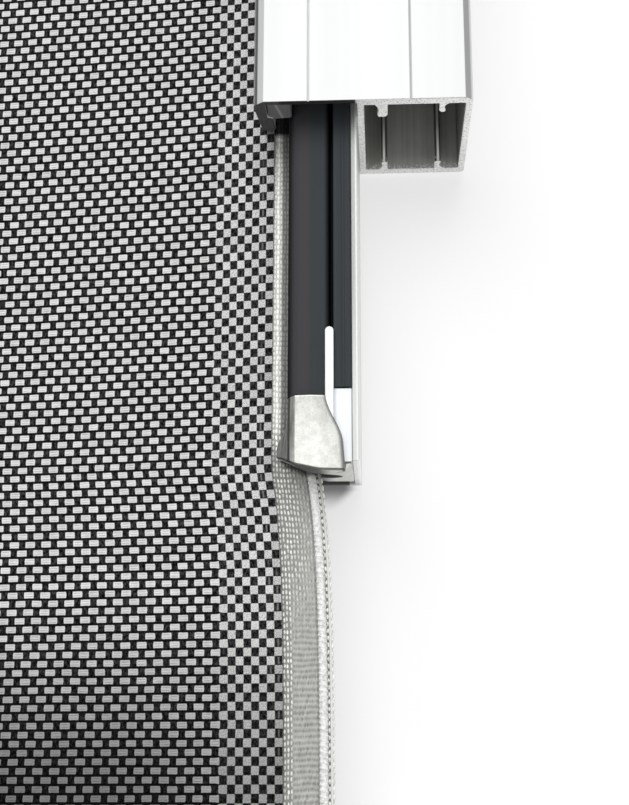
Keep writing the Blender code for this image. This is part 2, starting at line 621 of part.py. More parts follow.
def front_seals(surface):
    """Soft strip that fills the corner between the front lip and the insert."""
    left = CHANNEL_WALL + FIT
    front = CHANNEL_DEPTH - CHANNEL_WALL - FIT
    loop = [(left, front, 0.0003), (left + SEAL_WIDTH, front, 0.0003),
            (left + SEAL_WIDTH, front - SEAL_HEIGHT * 0.70, 0.0006),
            (left + SEAL_WIDTH * 0.70, front - SEAL_HEIGHT, 0.0006),
            (left + SEAL_WIDTH * 0.30, front - SEAL_HEIGHT * 0.85, 0.0006),
            (left, front - SEAL_HEIGHT, 0.0006)]
    for side, word in SIDES:
        piece("front_seal_" + word, upright(side, [fillet(loop, 3)], CHANNEL_BOTTOM + GUIDE_LOWER_GAP,
                                            CHANNEL_TOP - FIT), surface)


def foot_caps(surface):
    """Caps under the channels, each with a plug between the chamber's ribs."""
    plate = box_outline(0, CHANNEL_WIDTH, 0, CHANNEL_DEPTH, 0.0015, 3)
    ribs_low = CHAMBER_FACE + FIT
    plug = box_outline(CHAMBER_OUT + CHANNEL_WALL + PORT_WIDTH + RIB_THICKNESS + 2 * FIT,
                       CHANNEL_WIDTH - CHANNEL_WALL - PORT_WIDTH * 1.15 - RIB_THICKNESS - 2 * FIT,
                       ribs_low, CHANNEL_DEPTH - ribs_low, 0.0012, 2)
    for side, word in SIDES:
        under = CHANNEL_BOTTOM - FIT
        cap = piece("foot_cap_" + word, upright(side, [plate], under - CAP_PLATE, under), surface)
        tool(cap, upright(side, [plug], under - 0.5 * CAP_PLATE, under + CAP_PLUG), "UNION")


def keyhole(middle, edge, radius, slot, inward=1, steps=12):
    """Round pocket below a straight edge with a slot that opens through it, as (u, v) points."""
    half = math.asin(slot / 2 / radius)
    turn = math.pi / 2 - half
    angles = (math.pi / 2 + half + 2 * (math.pi - half) * k / steps for k in range(steps + 1))
    centre = edge - inward
    pocket = [(middle + radius * math.cos(a), centre + radius * math.sin(a)) for a in angles]
    return [(middle - slot / 2, edge)] + pocket + [(middle + slot / 2, edge)] if turn > 0 else []


def roller_loops():
    """Section of the roller tube about its axis, with the keder groove at its back."""
    pocket = KEDER_RADIUS + KEDER_CLEARANCE
    sink = TUBE_WALL + pocket - 0.0003
    start = math.asin(KEDER_SLOT / 2 / TUBE_RADIUS)
    outer = arc(0, 0, TUBE_RADIUS, math.pi / 2 - start, -1.5 * math.pi + start, 44)
    outline = outer + keyhole(0, TUBE_RADIUS * math.cos(start), pocket, KEDER_SLOT, sink)[1:-1]
    inner = TUBE_RADIUS - TUBE_WALL
    bump = pocket + TUBE_WALL * 0.8
    bump_centre = TUBE_RADIUS - sink
    reach = math.acos((inner ** 2 + bump_centre ** 2 - bump ** 2) / (2 * inner * bump_centre))
    inside = arc(0, 0, inner, math.pi / 2 - reach, -1.5 * math.pi + reach, 40)
    corner = Vector(inside[-1]) - Vector((0, bump_centre))
    lean = math.atan2(corner.y, corner.x)
    inside += arc(0, bump_centre, bump, lean, 3 * math.pi - lean, 8)[1:-1]
    return outline, inside


def roller(parent, tube_metal, fabric, cord, plastic, steel):
    def about(across, up, x):
        return Vector((x, -ROLLER_DEPTH + across, ROLLER_Z + up))

    ends = [at(side, TUBE_OUT, ROLLER_DEPTH, ROLLER_Z) for side in (LEFT, RIGHT)]
    piece("roller_tube", prism(roller_loops(), about, ends[0].x, ends[1].x), tube_metal, parent)
    rod_z = ROLLER_Z + TUBE_RADIUS - TUBE_WALL - KEDER_RADIUS - KEDER_CLEARANCE + 0.0003
    rod_end = CLEAR_WIDTH / 2 + FABRIC_OUT
    piece("roller_keder", turned([(-rod_end, 0), (-rod_end, KEDER_RADIUS), (rod_end, KEDER_RADIUS), (rod_end, 0)],
                                 (CENTER_X, -ROLLER_DEPTH, rod_z), (1, 0, 0), 10), cord, parent)
    inner = TUBE_RADIUS + FIT
    middle = (CENTER_X, -ROLLER_DEPTH, ROLLER_Z)
    piece("fabric_roll", turned([(-rod_end, inner), (rod_end, inner), (rod_end, ROLL_RADIUS), (-rod_end, ROLL_RADIUS)],
                                middle, (1, 0, 0), 44, closed=True), fabric, parent)
    for side, word in SIDES:
        start = CLEAR_WIDTH / 2 + FABRIC_OUT + FIT
        tape_end = CLEAR_WIDTH / 2 + COIL_OUT - COIL_RADIUS
        coil_end = CLEAR_WIDTH / 2 + COIL_OUT + COIL_RADIUS
        profile = [(start, inner), (coil_end, inner), (coil_end, ROLL_RADIUS - FIT), (tape_end, ROLL_RADIUS - FIT),
                   (start, ROLL_RADIUS - 0.0005)]
        piece("zip_roll_" + word, turned(profile, middle, (side, 0, 0), 32, closed=True), cord, parent)
    idler_plug(parent, plastic, steel)
    drive_adaptor(parent, plastic)


def plug_profile(inner_profile):
    """Outside of a tube plug, along the axis from inside the tube to its flange."""
    body = TUBE_RADIUS - TUBE_WALL - 2 * KEDER_RADIUS - 2 * KEDER_CLEARANCE - TUBE_WALL - FIT
    end = TUBE_OUT - PLUG_DEPTH
    flange = TUBE_OUT + FIT
    return [(end, body - 0.0010), (end + 0.0010, body), (flange, body), (flange, TUBE_RADIUS + 0.0007),
            (flange + PLUG_FLANGE_WIDTH, TUBE_RADIUS + 0.0007)] + inner_profile


def plug_ribs(target, side):
    """Ribs that centre a plug in the tube; none stands at the tube's keder groove."""
    body = TUBE_RADIUS - TUBE_WALL - 2 * KEDER_RADIUS - 2 * KEDER_CLEARANCE - TUBE_WALL - FIT
    reach = TUBE_RADIUS - TUBE_WALL - FIT
    for step in range(1, 6):
        angle = math.pi / 2 + step * math.pi / 3
        spoke = Vector((math.cos(angle), math.sin(angle)))
        edge = Vector((-spoke.y, spoke.x)) * 0.0012
        corners = [spoke * (body - 0.001) - edge, spoke * reach - edge, spoke * reach + edge, spoke * (body - 0.001) + edge]
        start = at(side, TUBE_OUT - PLUG_DEPTH, 0, 0).x
        end = at(side, TUBE_OUT + 2 * FIT, 0, 0).x
        rib = prism([[(point.x, point.y) for point in corners]],
                    lambda across, up, x: Vector((x, -ROLLER_DEPTH + across, ROLLER_Z + up)), start, end)
        tool(target, rib, "UNION")


def idler_sizes():
    """Places along the idler's axis, outwards: collar, bearing and bracket."""
    face = TUBE_OUT + FIT + PLUG_FLANGE_WIDTH
    bearing_start = face - FIT - BEARING_WIDTH
    collar_end = bearing_start - 2 * FIT
    collar_start = collar_end - IDLER_COLLAR
    spring_start = TUBE_OUT - PLUG_DEPTH + 0.0025
    return face, bearing_start, collar_start, collar_end, spring_start


def idler_plug(parent, plastic, steel):
    face, bearing_start, collar_start, collar_end, spring_start = idler_sizes()
    bore = IDLER_COLLAR_RADIUS + RUNNING_FIT
    seat = BEARING_RADIUS + FIT
    inside = [(face, seat), (bearing_start - FIT, seat), (bearing_start - FIT, bore), (spring_start - FIT, bore),
              (spring_start - FIT, 0.0015), (TUBE_OUT - PLUG_DEPTH, 0.0015)]
    axis_point = at(LEFT, -CLEAR_WIDTH / 2, ROLLER_DEPTH, ROLLER_Z)
    shift = CLEAR_WIDTH / 2

    def along(profile):
        return [(place + shift, radius) for place, radius in profile]

    plug = piece("idler_plug", turned(along(plug_profile(inside)), axis_point, (-1, 0, 0), 28, closed=True),
                 plastic, parent)
    plug_ribs(plug, LEFT)
    race = IDLER_PIN_RADIUS + RUNNING_FIT
    ring = [(bearing_start, race), (bearing_start, race + 0.0018), (bearing_start + 0.0006, race + 0.0022),
            (bearing_start + 0.0006, BEARING_RADIUS - 0.0020), (bearing_start, BEARING_RADIUS - 0.0016),
            (bearing_start, BEARING_RADIUS), (bearing_start + BEARING_WIDTH, BEARING_RADIUS),
            (bearing_start + BEARING_WIDTH, BEARING_RADIUS - 0.0016),
            (bearing_start + BEARING_WIDTH - 0.0006, BEARING_RADIUS - 0.0020),
            (bearing_start + BEARING_WIDTH - 0.0006, race + 0.0022), (bearing_start + BEARING_WIDTH, race + 0.0018),
            (bearing_start + BEARING_WIDTH, race)]
    piece("idler_bearing", turned(along(ring), axis_point, (-1, 0, 0), 24, closed=True), steel, parent)


def idler_pin(parent, steel, spring_steel):
    face, bearing_start, collar_start, collar_end, spring_start = idler_sizes()
    tip = IDLER_BRACKET_OUT + BRACKET_PLATE + 0.0022
    pin = IDLER_PIN_RADIUS
    shift = CLEAR_WIDTH / 2
    profile = [(collar_start, 0), (collar_start, IDLER_COLLAR_RADIUS - 0.0004),
               (collar_start + 0.0004, IDLER_COLLAR_RADIUS), (collar_end - 0.0004, IDLER_COLLAR_RADIUS),
               (collar_end, IDLER_COLLAR_RADIUS - 0.0004), (collar_end, pin), (tip - 0.0008, pin),
               (tip, pin - 0.0010), (tip, 0)]
    axis_point = at(LEFT, -CLEAR_WIDTH / 2, ROLLER_DEPTH, ROLLER_Z)
    piece("idler_pin", turned([(place + shift, radius) for place, radius in profile], axis_point, (-1, 0, 0), 22),
          steel, parent)
    coil = IDLER_COLLAR_RADIUS - 0.0010
    length = collar_start - FIT - spring_start - 2 * SPRING_WIRE - FIT
    steps = SPRING_TURNS * 12
    rings = []
    for step in range(steps + 1):
        angle = 2 * math.pi * SPRING_TURNS * step / steps
        spoke = Vector((0, math.cos(angle), math.sin(angle)))
        place = spring_start + FIT + SPRING_WIRE + length * smooth_ends(step / steps, SPRING_TURNS)
        centre = axis_point + Vector((-(place + shift), 0, 0)) + spoke * coil
        rings.append([centre + (spoke * math.cos(a) + Vector((1, 0, 0)) * math.sin(a)) * SPRING_WIRE
                      for a in (2 * math.pi * k / 4 for k in range(4))])
    piece("idler_spring", swept_rings(rings), spring_steel)


def smooth_ends(share, turns):
    """Height share of a compression spring whose first and last turns lie nearly flat."""
    flat = 0.75 / turns
    rise = 0.10
    if share < flat:
        return rise * share / flat
    if share > 1 - flat:
        return 1 - rise * (1 - share) / flat
    return rise + (1 - 2 * rise) * (share - flat) / (1 - 2 * flat)


def hexagon(flats):
    radius = flats / 2 / math.cos(math.pi / 6)
    return arc(0, 0, radius, 0, 2 * math.pi, 6)[:-1]


def drive_adaptor(parent, plastic):
    """Plug in the tube's driven end with a hexagon socket."""
    outer = plug_profile([])
    face = outer[-1][0]
    shift = CLEAR_WIDTH / 2
    axis_point = at(RIGHT, -CLEAR_WIDTH / 2, ROLLER_DEPTH, ROLLER_Z)
    profile = [(outer[0][0] + shift, 0)] + [(place + shift, radius) for place, radius in outer] + [(face + shift, 0)]
    adaptor = piece("drive_adaptor", turned(profile, axis_point, (1, 0, 0), 28), plastic, parent)
    plug_ribs(adaptor, RIGHT)
    socket = prism([hexagon(HEX_FLATS + 2 * FIT)],
                   lambda across, up, x: Vector((x, -ROLLER_DEPTH + across, ROLLER_Z + up)),
                   at(RIGHT, TUBE_OUT - PLUG_DEPTH - FIT, 0, 0).x, at(RIGHT, TUBE_OUT + 0.004, 0, 0).x)
    tool(adaptor, socket)


def worm_wheel(parent, surface):
    """Wheel with teeth that follow the worm's lead angle, and its hexagon shaft."""
    slope = WORM_LEAD / (2 * math.pi * WORM_PITCH_RADIUS)
    add, deduct = GEAR_MODULE, 1.15 * GEAR_MODULE
    start, end = GEAR_MIDDLE - WHEEL_FACE / 2, GEAR_MIDDLE + WHEEL_FACE / 2
    rings = []
    layers = 3
    for layer in range(layers + 1):
        out = start + (end - start) * layer / layers
        twist = slope * (out - GEAR_MIDDLE) / WHEEL_RADIUS
        ring = []
        for tooth in range(WHEEL_TEETH):
            middle = (tooth + 0.5) * 2 * math.pi / WHEEL_TEETH + math.pi
            thick = TOOTH_SHARE * 2 * math.pi / WHEEL_TEETH
            for radius, offset in ((WHEEL_RADIUS - deduct, -0.76), (WHEEL_RADIUS + add, -0.26),
                                   (WHEEL_RADIUS + add, 0.26), (WHEEL_RADIUS - deduct, 0.76)):
                angle = middle + thick * offset + twist
                ring.append(at(RIGHT, out, ROLLER_DEPTH - radius * math.cos(angle),
                               ROLLER_Z + radius * math.sin(angle)))
        rings.append(ring)
    wheel = piece("worm_wheel", swept_rings(rings), surface, parent)
    hub_start, hub_end = GEAR_OUT - 0.0008, GEAR_END - GEAR_COVER - FIT
    shift = CLEAR_WIDTH / 2
    axis_point = at(RIGHT, -shift, ROLLER_DEPTH, ROLLER_Z)
    tool(wheel, turned([(hub_start + shift, 0), (hub_start + shift, WHEEL_HUB_RADIUS),
                        (hub_end + shift, WHEEL_HUB_RADIUS), (hub_end + shift, 0)], axis_point, (1, 0, 0), 22), "UNION")
    shaft = prism([hexagon(HEX_FLATS)],
                  lambda across, up, x: Vector((x, -ROLLER_DEPTH + across, ROLLER_Z + up)),
                  at(RIGHT, TUBE_OUT - PLUG_DEPTH + 0.004, 0, 0).x, at(RIGHT, hub_start + 0.002, 0, 0).x)
    tool(wheel, shaft, "UNION")


def worm(parent, surface):
    """Two start worm: ruled strips between helical lines, trimmed flat at both ends."""
    centre = at(RIGHT, GEAR_MIDDLE, WORM_DEPTH, ROLLER_Z)
    root = WORM_PITCH_RADIUS - 1.15 * GEAR_MODULE
    tip = WORM_PITCH_RADIUS + GEAR_MODULE
    thick = TOOTH_SHARE * TOOTH_PITCH
    steps = 20
    lines = []
    count = int(WORM_LENGTH / TOOTH_PITCH) + 5
    for tooth in range(-count, count + 1):
        for radius, offset in ((root, -0.76), (tip, -0.26), (tip, 0.26), (root, 0.76)):
            lines.append((radius, tooth * TOOTH_PITCH - WORM_LEAD / 4 + offset * thick))
    body = bmesh.new()
    grid = []
    for radius, height in lines:
        row = []
        for step in range(steps):
            angle = 2 * math.pi * step / steps
            row.append(body.verts.new(centre + Vector((radius * math.cos(angle), radius * math.sin(angle),
                                                       height + WORM_LEAD * angle / (2 * math.pi)))))
        grid.append(row)
    ahead = 4 * WORM_STARTS
    for low in range(len(grid) - 1):
        for step in range(steps - 1):
            body.faces.new((grid[low][step], grid[low][step + 1], grid[low + 1][step + 1], grid[low + 1][step]))
        if low + 1 + ahead < len(grid):
            body.faces.new((grid[low + ahead][0], grid[low + ahead + 1][0],
                            grid[low + 1][-1], grid[low][-1]))
    for height, side in ((-WORM_LENGTH / 2, -1), (WORM_LENGTH / 2, 1)):
        geometry = list(body.verts) + list(body.edges) + list(body.faces)
        cut = bmesh.ops.bisect_plane(body, geom=geometry, plane_co=centre + Vector((0, 0, height)),
                                     plane_no=(0, 0, side), clear_outer=True, dist=1e-7)
        edges = [item for item in cut["geom_cut"] if isinstance(item, bmesh.types.BMEdge)]
        bmesh.ops.triangle_fill(body, use_beauty=True, use_dissolve=False, edges=edges)
    bmesh.ops.recalc_face_normals(body, faces=body.faces)
    thread = piece("worm", body, surface, parent)
    low_end = GEAR_HALF_HEIGHT + FIT
    journal = [(-WORM_LENGTH / 2 - 0.0036, 0), (-WORM_LENGTH / 2 - 0.0036, WORM_SHAFT_RADIUS),
               (low_end - FIT, WORM_SHAFT_RADIUS), (low_end - FIT, 0)]
    tool(thread, turned(journal, centre, (0, 0, -1), 18), "UNION")
    return centre


def crank_eye(parent, surface):
    """Forged eye under the gear housing, where the crank's hook takes hold."""
    centre = at(RIGHT, GEAR_MIDDLE, WORM_DEPTH, ROLLER_Z)
    start = GEAR_HALF_HEIGHT + 2 * FIT
    ring_centre = start + EYE_NECK + EYE_RADIUS
    ring = wire_ring(centre - Vector((0, 0, ring_centre)), EYE_RADIUS, EYE_WIRE, (0, 1, 0))
    eye = piece("crank_eye", ring, surface, parent)
    profile = [(start, 0), (start, EYE_SHAFT_RADIUS + 0.0016), (start + 0.0026, EYE_SHAFT_RADIUS + 0.0016),
               (start + 0.0032, EYE_SHAFT_RADIUS), (start + EYE_NECK - 0.0010, EYE_SHAFT_RADIUS * 0.9),
               (start + EYE_NECK, EYE_WIRE * 1.1), (start + EYE_NECK, 0)]
    tool(eye, turned(profile, centre, (0, 0, -1), 18), "UNION")


def gear_housing(shell_surface, cover_surface, steel):
    """Cup round the gears, its cover and the screws that hold both on the bracket."""
    back = ROLLER_DEPTH - GEAR_HALF_HEIGHT
    worm_room = WORM_PITCH_RADIUS + GEAR_MODULE + GEAR_AIR
    front = WORM_DEPTH + worm_room + GEAR_WALL
    outline = box_outline(back, front, ROLLER_Z - GEAR_HALF_HEIGHT, ROLLER_Z + GEAR_HALF_HEIGHT, GEAR_CORNER, 4)
    wheel_room = WHEEL_RADIUS + GEAR_MODULE + GEAR_AIR
    room = arc(ROLLER_DEPTH, ROLLER_Z, wheel_room, math.pi / 2, 1.5 * math.pi, 14)
    room += [(WORM_DEPTH + worm_room, ROLLER_Z - wheel_room), (WORM_DEPTH + worm_room, ROLLER_Z + wheel_room)]
    x_inner, x_floor, x_cover, x_end = (at(RIGHT, out, 0, 0).x for out in
                                        (GEAR_OUT, GEAR_OUT + GEAR_WALL, GEAR_END - GEAR_COVER, GEAR_END))
    housing = piece("gear_housing", crosswise([outline], x_inner, x_cover - FIT), shell_surface)
    tool(housing, crosswise([room], x_floor, x_cover + FIT))
    shift = CLEAR_WIDTH / 2
    axis_point = at(RIGHT, -shift, ROLLER_DEPTH, ROLLER_Z)
    hub = WHEEL_HUB_RADIUS + RUNNING_FIT
    tool(housing, turned([(GEAR_OUT - FIT + shift, 0), (GEAR_OUT - FIT + shift, hub),
                          (GEAR_OUT + GEAR_WALL + FIT + shift, hub), (GEAR_OUT + GEAR_WALL + FIT + shift, 0)],
                         axis_point, (1, 0, 0), 22))
    shaft = WORM_SHAFT_RADIUS + RUNNING_FIT
    centre = at(RIGHT, GEAR_MIDDLE, WORM_DEPTH, ROLLER_Z)
    journal_end = -WORM_LENGTH / 2 - 0.0036 - FIT
    tool(housing, turned([(journal_end, 0), (journal_end, shaft), (GEAR_HALF_HEIGHT + FIT, shaft),
                          (GEAR_HALF_HEIGHT + FIT, 0)], centre, (0, 0, -1), 18))
    holes = [circle(depth, z, GEAR_SCREW_RADIUS + FIT, 12) for depth, z in gear_screw_places()]
    for hole in holes:
        tool(housing, crosswise([hole], x_floor + 0.0035, x_cover + FIT))
    piece("gear_cover", crosswise([outline] + holes, x_cover, x_end), cover_surface)
    head = GEAR_END + FIT + BRACKET_PLATE + FIT
    profile = [(GEAR_OUT + GEAR_WALL + 0.0040, 0), (GEAR_OUT + GEAR_WALL + 0.0040, GEAR_SCREW_RADIUS),
               (head, GEAR_SCREW_RADIUS), (head, GEAR_SCREW_HEAD_RADIUS),
               (head + 0.6 * GEAR_SCREW_HEAD, GEAR_SCREW_HEAD_RADIUS),
               (head + GEAR_SCREW_HEAD, 0.6 * GEAR_SCREW_HEAD_RADIUS), (head + 0.4 * GEAR_SCREW_HEAD, 0)]
    profile = [(place + shift, radius) for place, radius in profile]
    for number, (depth, z) in enumerate(gear_screw_places(), 1):
        piece(f"gear_screw_{number}", turned(profile, at(RIGHT, -shift, depth, z), (1, 0, 0), 10), steel)


def gear_screw_places():
    """Places (depth, z) of the four screws in the corners of the gear housing."""
    back = ROLLER_DEPTH - GEAR_HALF_HEIGHT + GEAR_SCREW_INSET
    front = WORM_DEPTH + WORM_PITCH_RADIUS + GEAR_MODULE + GEAR_AIR + GEAR_WALL - GEAR_SCREW_INSET
    rise = GEAR_HALF_HEIGHT - GEAR_SCREW_INSET + 0.0006
    return [(depth, ROLLER_Z + sign * rise) for depth in (back, front) for sign in (-1, 1)]


def bracket_section(plate_out, turn):
    """Bent sheet seen from above: side plate and wall flange, turned outwards or inwards."""
    t = BRACKET_PLATE
    inner_face, outer_face = plate_out, plate_out + t
    reach = ROLLER_DEPTH + BRACKET_HALF_HEIGHT * 0.80
    if turn > 0:
        corners = [(inner_face, 0, BRACKET_BEND + t), (outer_face + BRACKET_FLANGE - t, 0, 0.0003),
                   (outer_face + BRACKET_FLANGE - t, t, 0.0003), (outer_face, t, BRACKET_BEND),
                   (outer_face, reach, 0.0003), (inner_face, reach, 0.0003)]
    else:
        corners = [(outer_face, 0, BRACKET_BEND + t), (outer_face, reach, 0.0003), (inner_face, reach, 0.0003),
                   (inner_face, t, BRACKET_BEND), (inner_face - BRACKET_FLANGE + t, t, 0.0003),
                   (inner_face - BRACKET_FLANGE + t, 0, 0.0003)]
    return fillet(corners, 4), reach


def brackets(surface, steel):
    """Wall brackets: the left one carries the idler pin, the right one the crank gear."""
    for side, word in SIDES:
        if side == LEFT:
            plate_out, turn = IDLER_BRACKET_OUT, 1
        else:
            plate_out, turn = GEAR_END + FIT, -1
        section, reach = bracket_section(plate_out, turn)
        low, high = ROLLER_Z - BRACKET_HALF_HEIGHT, ROLLER_Z + BRACKET_HALF_HEIGHT
        bracket = piece("bracket_" + word, upright(side, [section], low, high), surface)
        far = reach + 0.001
        for sign in (-1, 1):
            edge = ROLLER_Z + sign * BRACKET_HALF_HEIGHT
            middle = (reach - BRACKET_ROUND, edge - sign * BRACKET_ROUND)
            curve = arc(*middle, BRACKET_ROUND, sign * math.pi / 2, 0, 6)
            corner = curve + [(far, middle[1]), (far, edge + sign * 0.001), (middle[0], edge + sign * 0.001)]
            x0, x1 = at(side, plate_out - 0.001, 0, 0).x, at(side, plate_out + BRACKET_PLATE + 0.001, 0, 0).x
            tool(bracket, crosswise([corner], min(x0, x1), max(x0, x1)))
        shift = CLEAR_WIDTH / 2
        x0, x1 = at(side, plate_out - 0.001, 0, 0).x, at(side, plate_out + BRACKET_PLATE + 0.001, 0, 0).x
        if side == LEFT:
            hole = circle(ROLLER_DEPTH, ROLLER_Z, IDLER_PIN_RADIUS + RUNNING_FIT, 28)
            tool(bracket, crosswise([hole], min(x0, x1), max(x0, x1)))
        else:
            for depth, z in gear_screw_places():
                hole = circle(depth, z, GEAR_SCREW_RADIUS + FIT, 12)
                tool(bracket, crosswise([hole], min(x0, x1), max(x0, x1)))
        screw_out = plate_out + BRACKET_PLATE / 2 + turn * (BRACKET_FLANGE * 0.58)
        for sign, level in ((-1, "lower"), (1, "upper")):
            z = ROLLER_Z + sign * BRACKET_SCREW_SPREAD
            radius = BRACKET_SCREW_RADIUS + FIT
            half = BRACKET_SLOT / 2
            slot = arc(screw_out + half, z, radius, -math.pi / 2, math.pi / 2, 8)
            slot += arc(screw_out - half, z, radius, math.pi / 2, 1.5 * math.pi, 8)
            cut = prism([slot], lambda out, height, depth: at(side, out, depth, height), -0.001, BRACKET_PLATE + 0.001)
            tool(bracket, cut)
            seat = BRACKET_PLATE + FIT
            top = seat + BRACKET_SCREW_HEAD
            profile = [(FIT, 0), (FIT, BRACKET_SCREW_RADIUS), (seat, BRACKET_SCREW_RADIUS),
                       (seat, BRACKET_SCREW_HEAD_RADIUS), (seat + 0.5 * BRACKET_SCREW_HEAD, BRACKET_SCREW_HEAD_RADIUS),
                       (top, 0.6 * BRACKET_SCREW_HEAD_RADIUS), (top - 0.0012, 0)]
            piece(f"bracket_screw_{word}_{level}", turned(profile, at(side, screw_out, 0, z), (0, -1, 0), 12), steel)


def bar_loops():
    """Section of the bottom bar as (depth, z): keder groove, weight chamber and seal slot."""
    half = BAR_DEPTH / 2
    low, high, middle = BAR_BOTTOM, BAR_TOP, FABRIC_DEPTH
    pocket = KEDER_RADIUS + KEDER_CLEARANCE
    outline = [(middle - half, high, BAR_ROUND), (middle - half, low, BAR_ROUND * 0.5)]
    slot_floor = low + BAR_WALL
    slot_top = slot_floor + SEAL_SLOT_HEIGHT
    mouth, head = SEAL_SLOT_MOUTH / 2, SEAL_SLOT_WIDTH / 2
    outline += [(middle - mouth, low, 0), (middle - mouth, slot_floor, 0), (middle - head, slot_floor, 0),
                (middle - head, slot_top, 0), (middle + head, slot_top, 0), (middle + head, slot_floor, 0),
                (middle + mouth, slot_floor, 0), (middle + mouth, low, 0)]
    outline += [(middle + half, low, BAR_ROUND * 0.5), (middle + half, high, BAR_ROUND)]
    top_slot = keyhole(0, 0, pocket, KEDER_SLOT, BAR_TOP - BAR_KEDER_Z)
    loop = fillet(outline, 3) + [(middle - u, high + v) for u, v in top_slot]
    chamber = box_outline(middle - half + BAR_WALL, middle + half - BAR_WALL, slot_top + BAR_WALL,
                          BAR_KEDER_Z - pocket - BAR_WALL, 0.0008, 2)
    return loop, chamber


def bottom_bar(parent, aluminium, plastic, steel, cord, rubber):
    start, end = CENTER_X - BAR_HALF, CENTER_X + BAR_HALF
    piece("bottom_bar", crosswise(bar_loops(), start, end), aluminium, parent)
    loops = bar_loops()
    chamber = loops[1]
    depths, heights = zip(*chamber)
    gap = WEIGHT_CLEARANCE
    lowest = min(heights) + FIT
    weight = box_outline(min(depths) + gap, max(depths) - gap, lowest, lowest + 0.72 * (max(heights) - min(heights)))
    inset = 0.016
    piece("bar_weight", crosswise([weight], start + inset, end - inset), steel, parent)
    rod = KEDER_RADIUS
    piece("bar_keder", turned([(-BAR_HALF + FIT, 0), (-BAR_HALF + FIT, rod), (BAR_HALF - FIT, rod), (BAR_HALF - FIT, 0)],
                              (CENTER_X, -FABRIC_DEPTH, BAR_KEDER_Z), (1, 0, 0), 10), cord, parent)
    slot_floor = BAR_BOTTOM + BAR_WALL + FIT
    head, neck = SEAL_SLOT_WIDTH / 2 - FIT, SEAL_SLOT_MOUTH / 2 - FIT
    middle = FABRIC_DEPTH
    lip = BAR_BOTTOM - SEAL_LIP
    seal = [(middle - head, slot_floor + SEAL_SLOT_HEIGHT - 2 * FIT, 0), (middle - head, slot_floor, 0),
            (middle - neck, slot_floor, 0), (middle - neck, BAR_BOTTOM - FIT, 0),
            (middle - 2.6 * neck, BAR_BOTTOM - FIT, 0.0004), (middle - 2.2 * neck, lip, 0.0016),
            (middle + 2.2 * neck, lip, 0.0016), (middle + 2.6 * neck, BAR_BOTTOM - FIT, 0.0004),
            (middle + neck, BAR_BOTTOM - FIT, 0), (middle + neck, slot_floor, 0), (middle + head, slot_floor, 0),
            (middle + head, slot_floor + SEAL_SLOT_HEIGHT - 2 * FIT, 0)]
    hollow = circle(middle, (BAR_BOTTOM + lip) / 2 - 0.0004, SEAL_LIP * 0.28, 10)
    piece("bar_seal", crosswise([fillet(seal, 3), hollow], start + FIT, end - FIT), rubber, parent)
    bar_caps(parent, plastic, chamber)


def bar_caps(parent, plastic, chamber):
    """End caps: a flange, a plug in the bar's chamber and a tongue that runs in the channel."""
    half = BAR_DEPTH / 2
    depths, heights = zip(*chamber)
    for side, word in SIDES:
        def x_at(out):
            return at(side, out, 0, 0).x

        def slab(loop, near, far):
            return crosswise([loop], min(x_at(near), x_at(far)), max(x_at(near), x_at(far)))

        face = -BAR_GAP + FIT
        flange = box_outline(FABRIC_DEPTH - half, FABRIC_DEPTH + half, BAR_BOTTOM, BAR_TOP - BAR_WALL,
                             BAR_ROUND, 3)
        cap = piece("bar_cap_" + word, slab(flange, face, face + BAR_CAP_FLANGE), plastic, parent)
        plug = box_outline(min(depths) + 2 * FIT, max(depths) - 2 * FIT, min(heights) + 2 * FIT,
                           max(heights) - 2 * FIT, 0.0006, 2)
        tool(cap, slab(plug, face - 0.0110, face + 0.5 * BAR_CAP_FLANGE), "UNION")
        tongue_half = BAR_TONGUE_THICKNESS / 2
        tongue = box_outline(FABRIC_DEPTH - tongue_half, FABRIC_DEPTH + tongue_half, BAR_BOTTOM + 0.0030,
                             BAR_TOP - BAR_WALL - 0.0040, 0.0024, 4)
        tool(cap, slab(tongue, face + 0.5 * BAR_CAP_FLANGE, face + BAR_TONGUE), "UNION")


def screen(fabric, tape, coil):
    """Hanging fabric from the roller to the bar, with the zip along both edges."""
    half = CLEAR_WIDTH / 2 + FABRIC_OUT
    slot_bottom = BAR_KEDER_Z + KEDER_RADIUS + FIT
    above_bar = BAR_TOP + 2 * FIT
    inner = BAR_HALF - FIT
    sheet = [(-half, ROLLER_Z), (-half, above_bar), (-inner, above_bar), (-inner, slot_bottom),
             (inner, slot_bottom), (inner, above_bar), (half, above_bar), (half, ROLLER_Z)]
    body = prism([sheet], lambda u, z, depth: Vector((CENTER_X + u, -depth, z)),
                 FABRIC_DEPTH - FABRIC_THICKNESS / 2, FABRIC_DEPTH + FABRIC_THICKNESS / 2)
    piece("screen_fabric", body, fabric)
    for side, word in SIDES:
        tape_loop = box_outline(FABRIC_OUT - TAPE_WELD, COIL_OUT - COIL_RADIUS - FIT,
                                TAPE_DEPTH - TAPE_THICKNESS / 2, TAPE_DEPTH + TAPE_THICKNESS / 2)
        piece("zip_tape_" + word, upright(side, [tape_loop], above_bar, ROLLER_Z), tape)
        piece("zip_coil_" + word, upright(side, [circle(COIL_OUT, TAPE_DEPTH, COIL_RADIUS, 10)], above_bar, ROLLER_Z),
              coil)


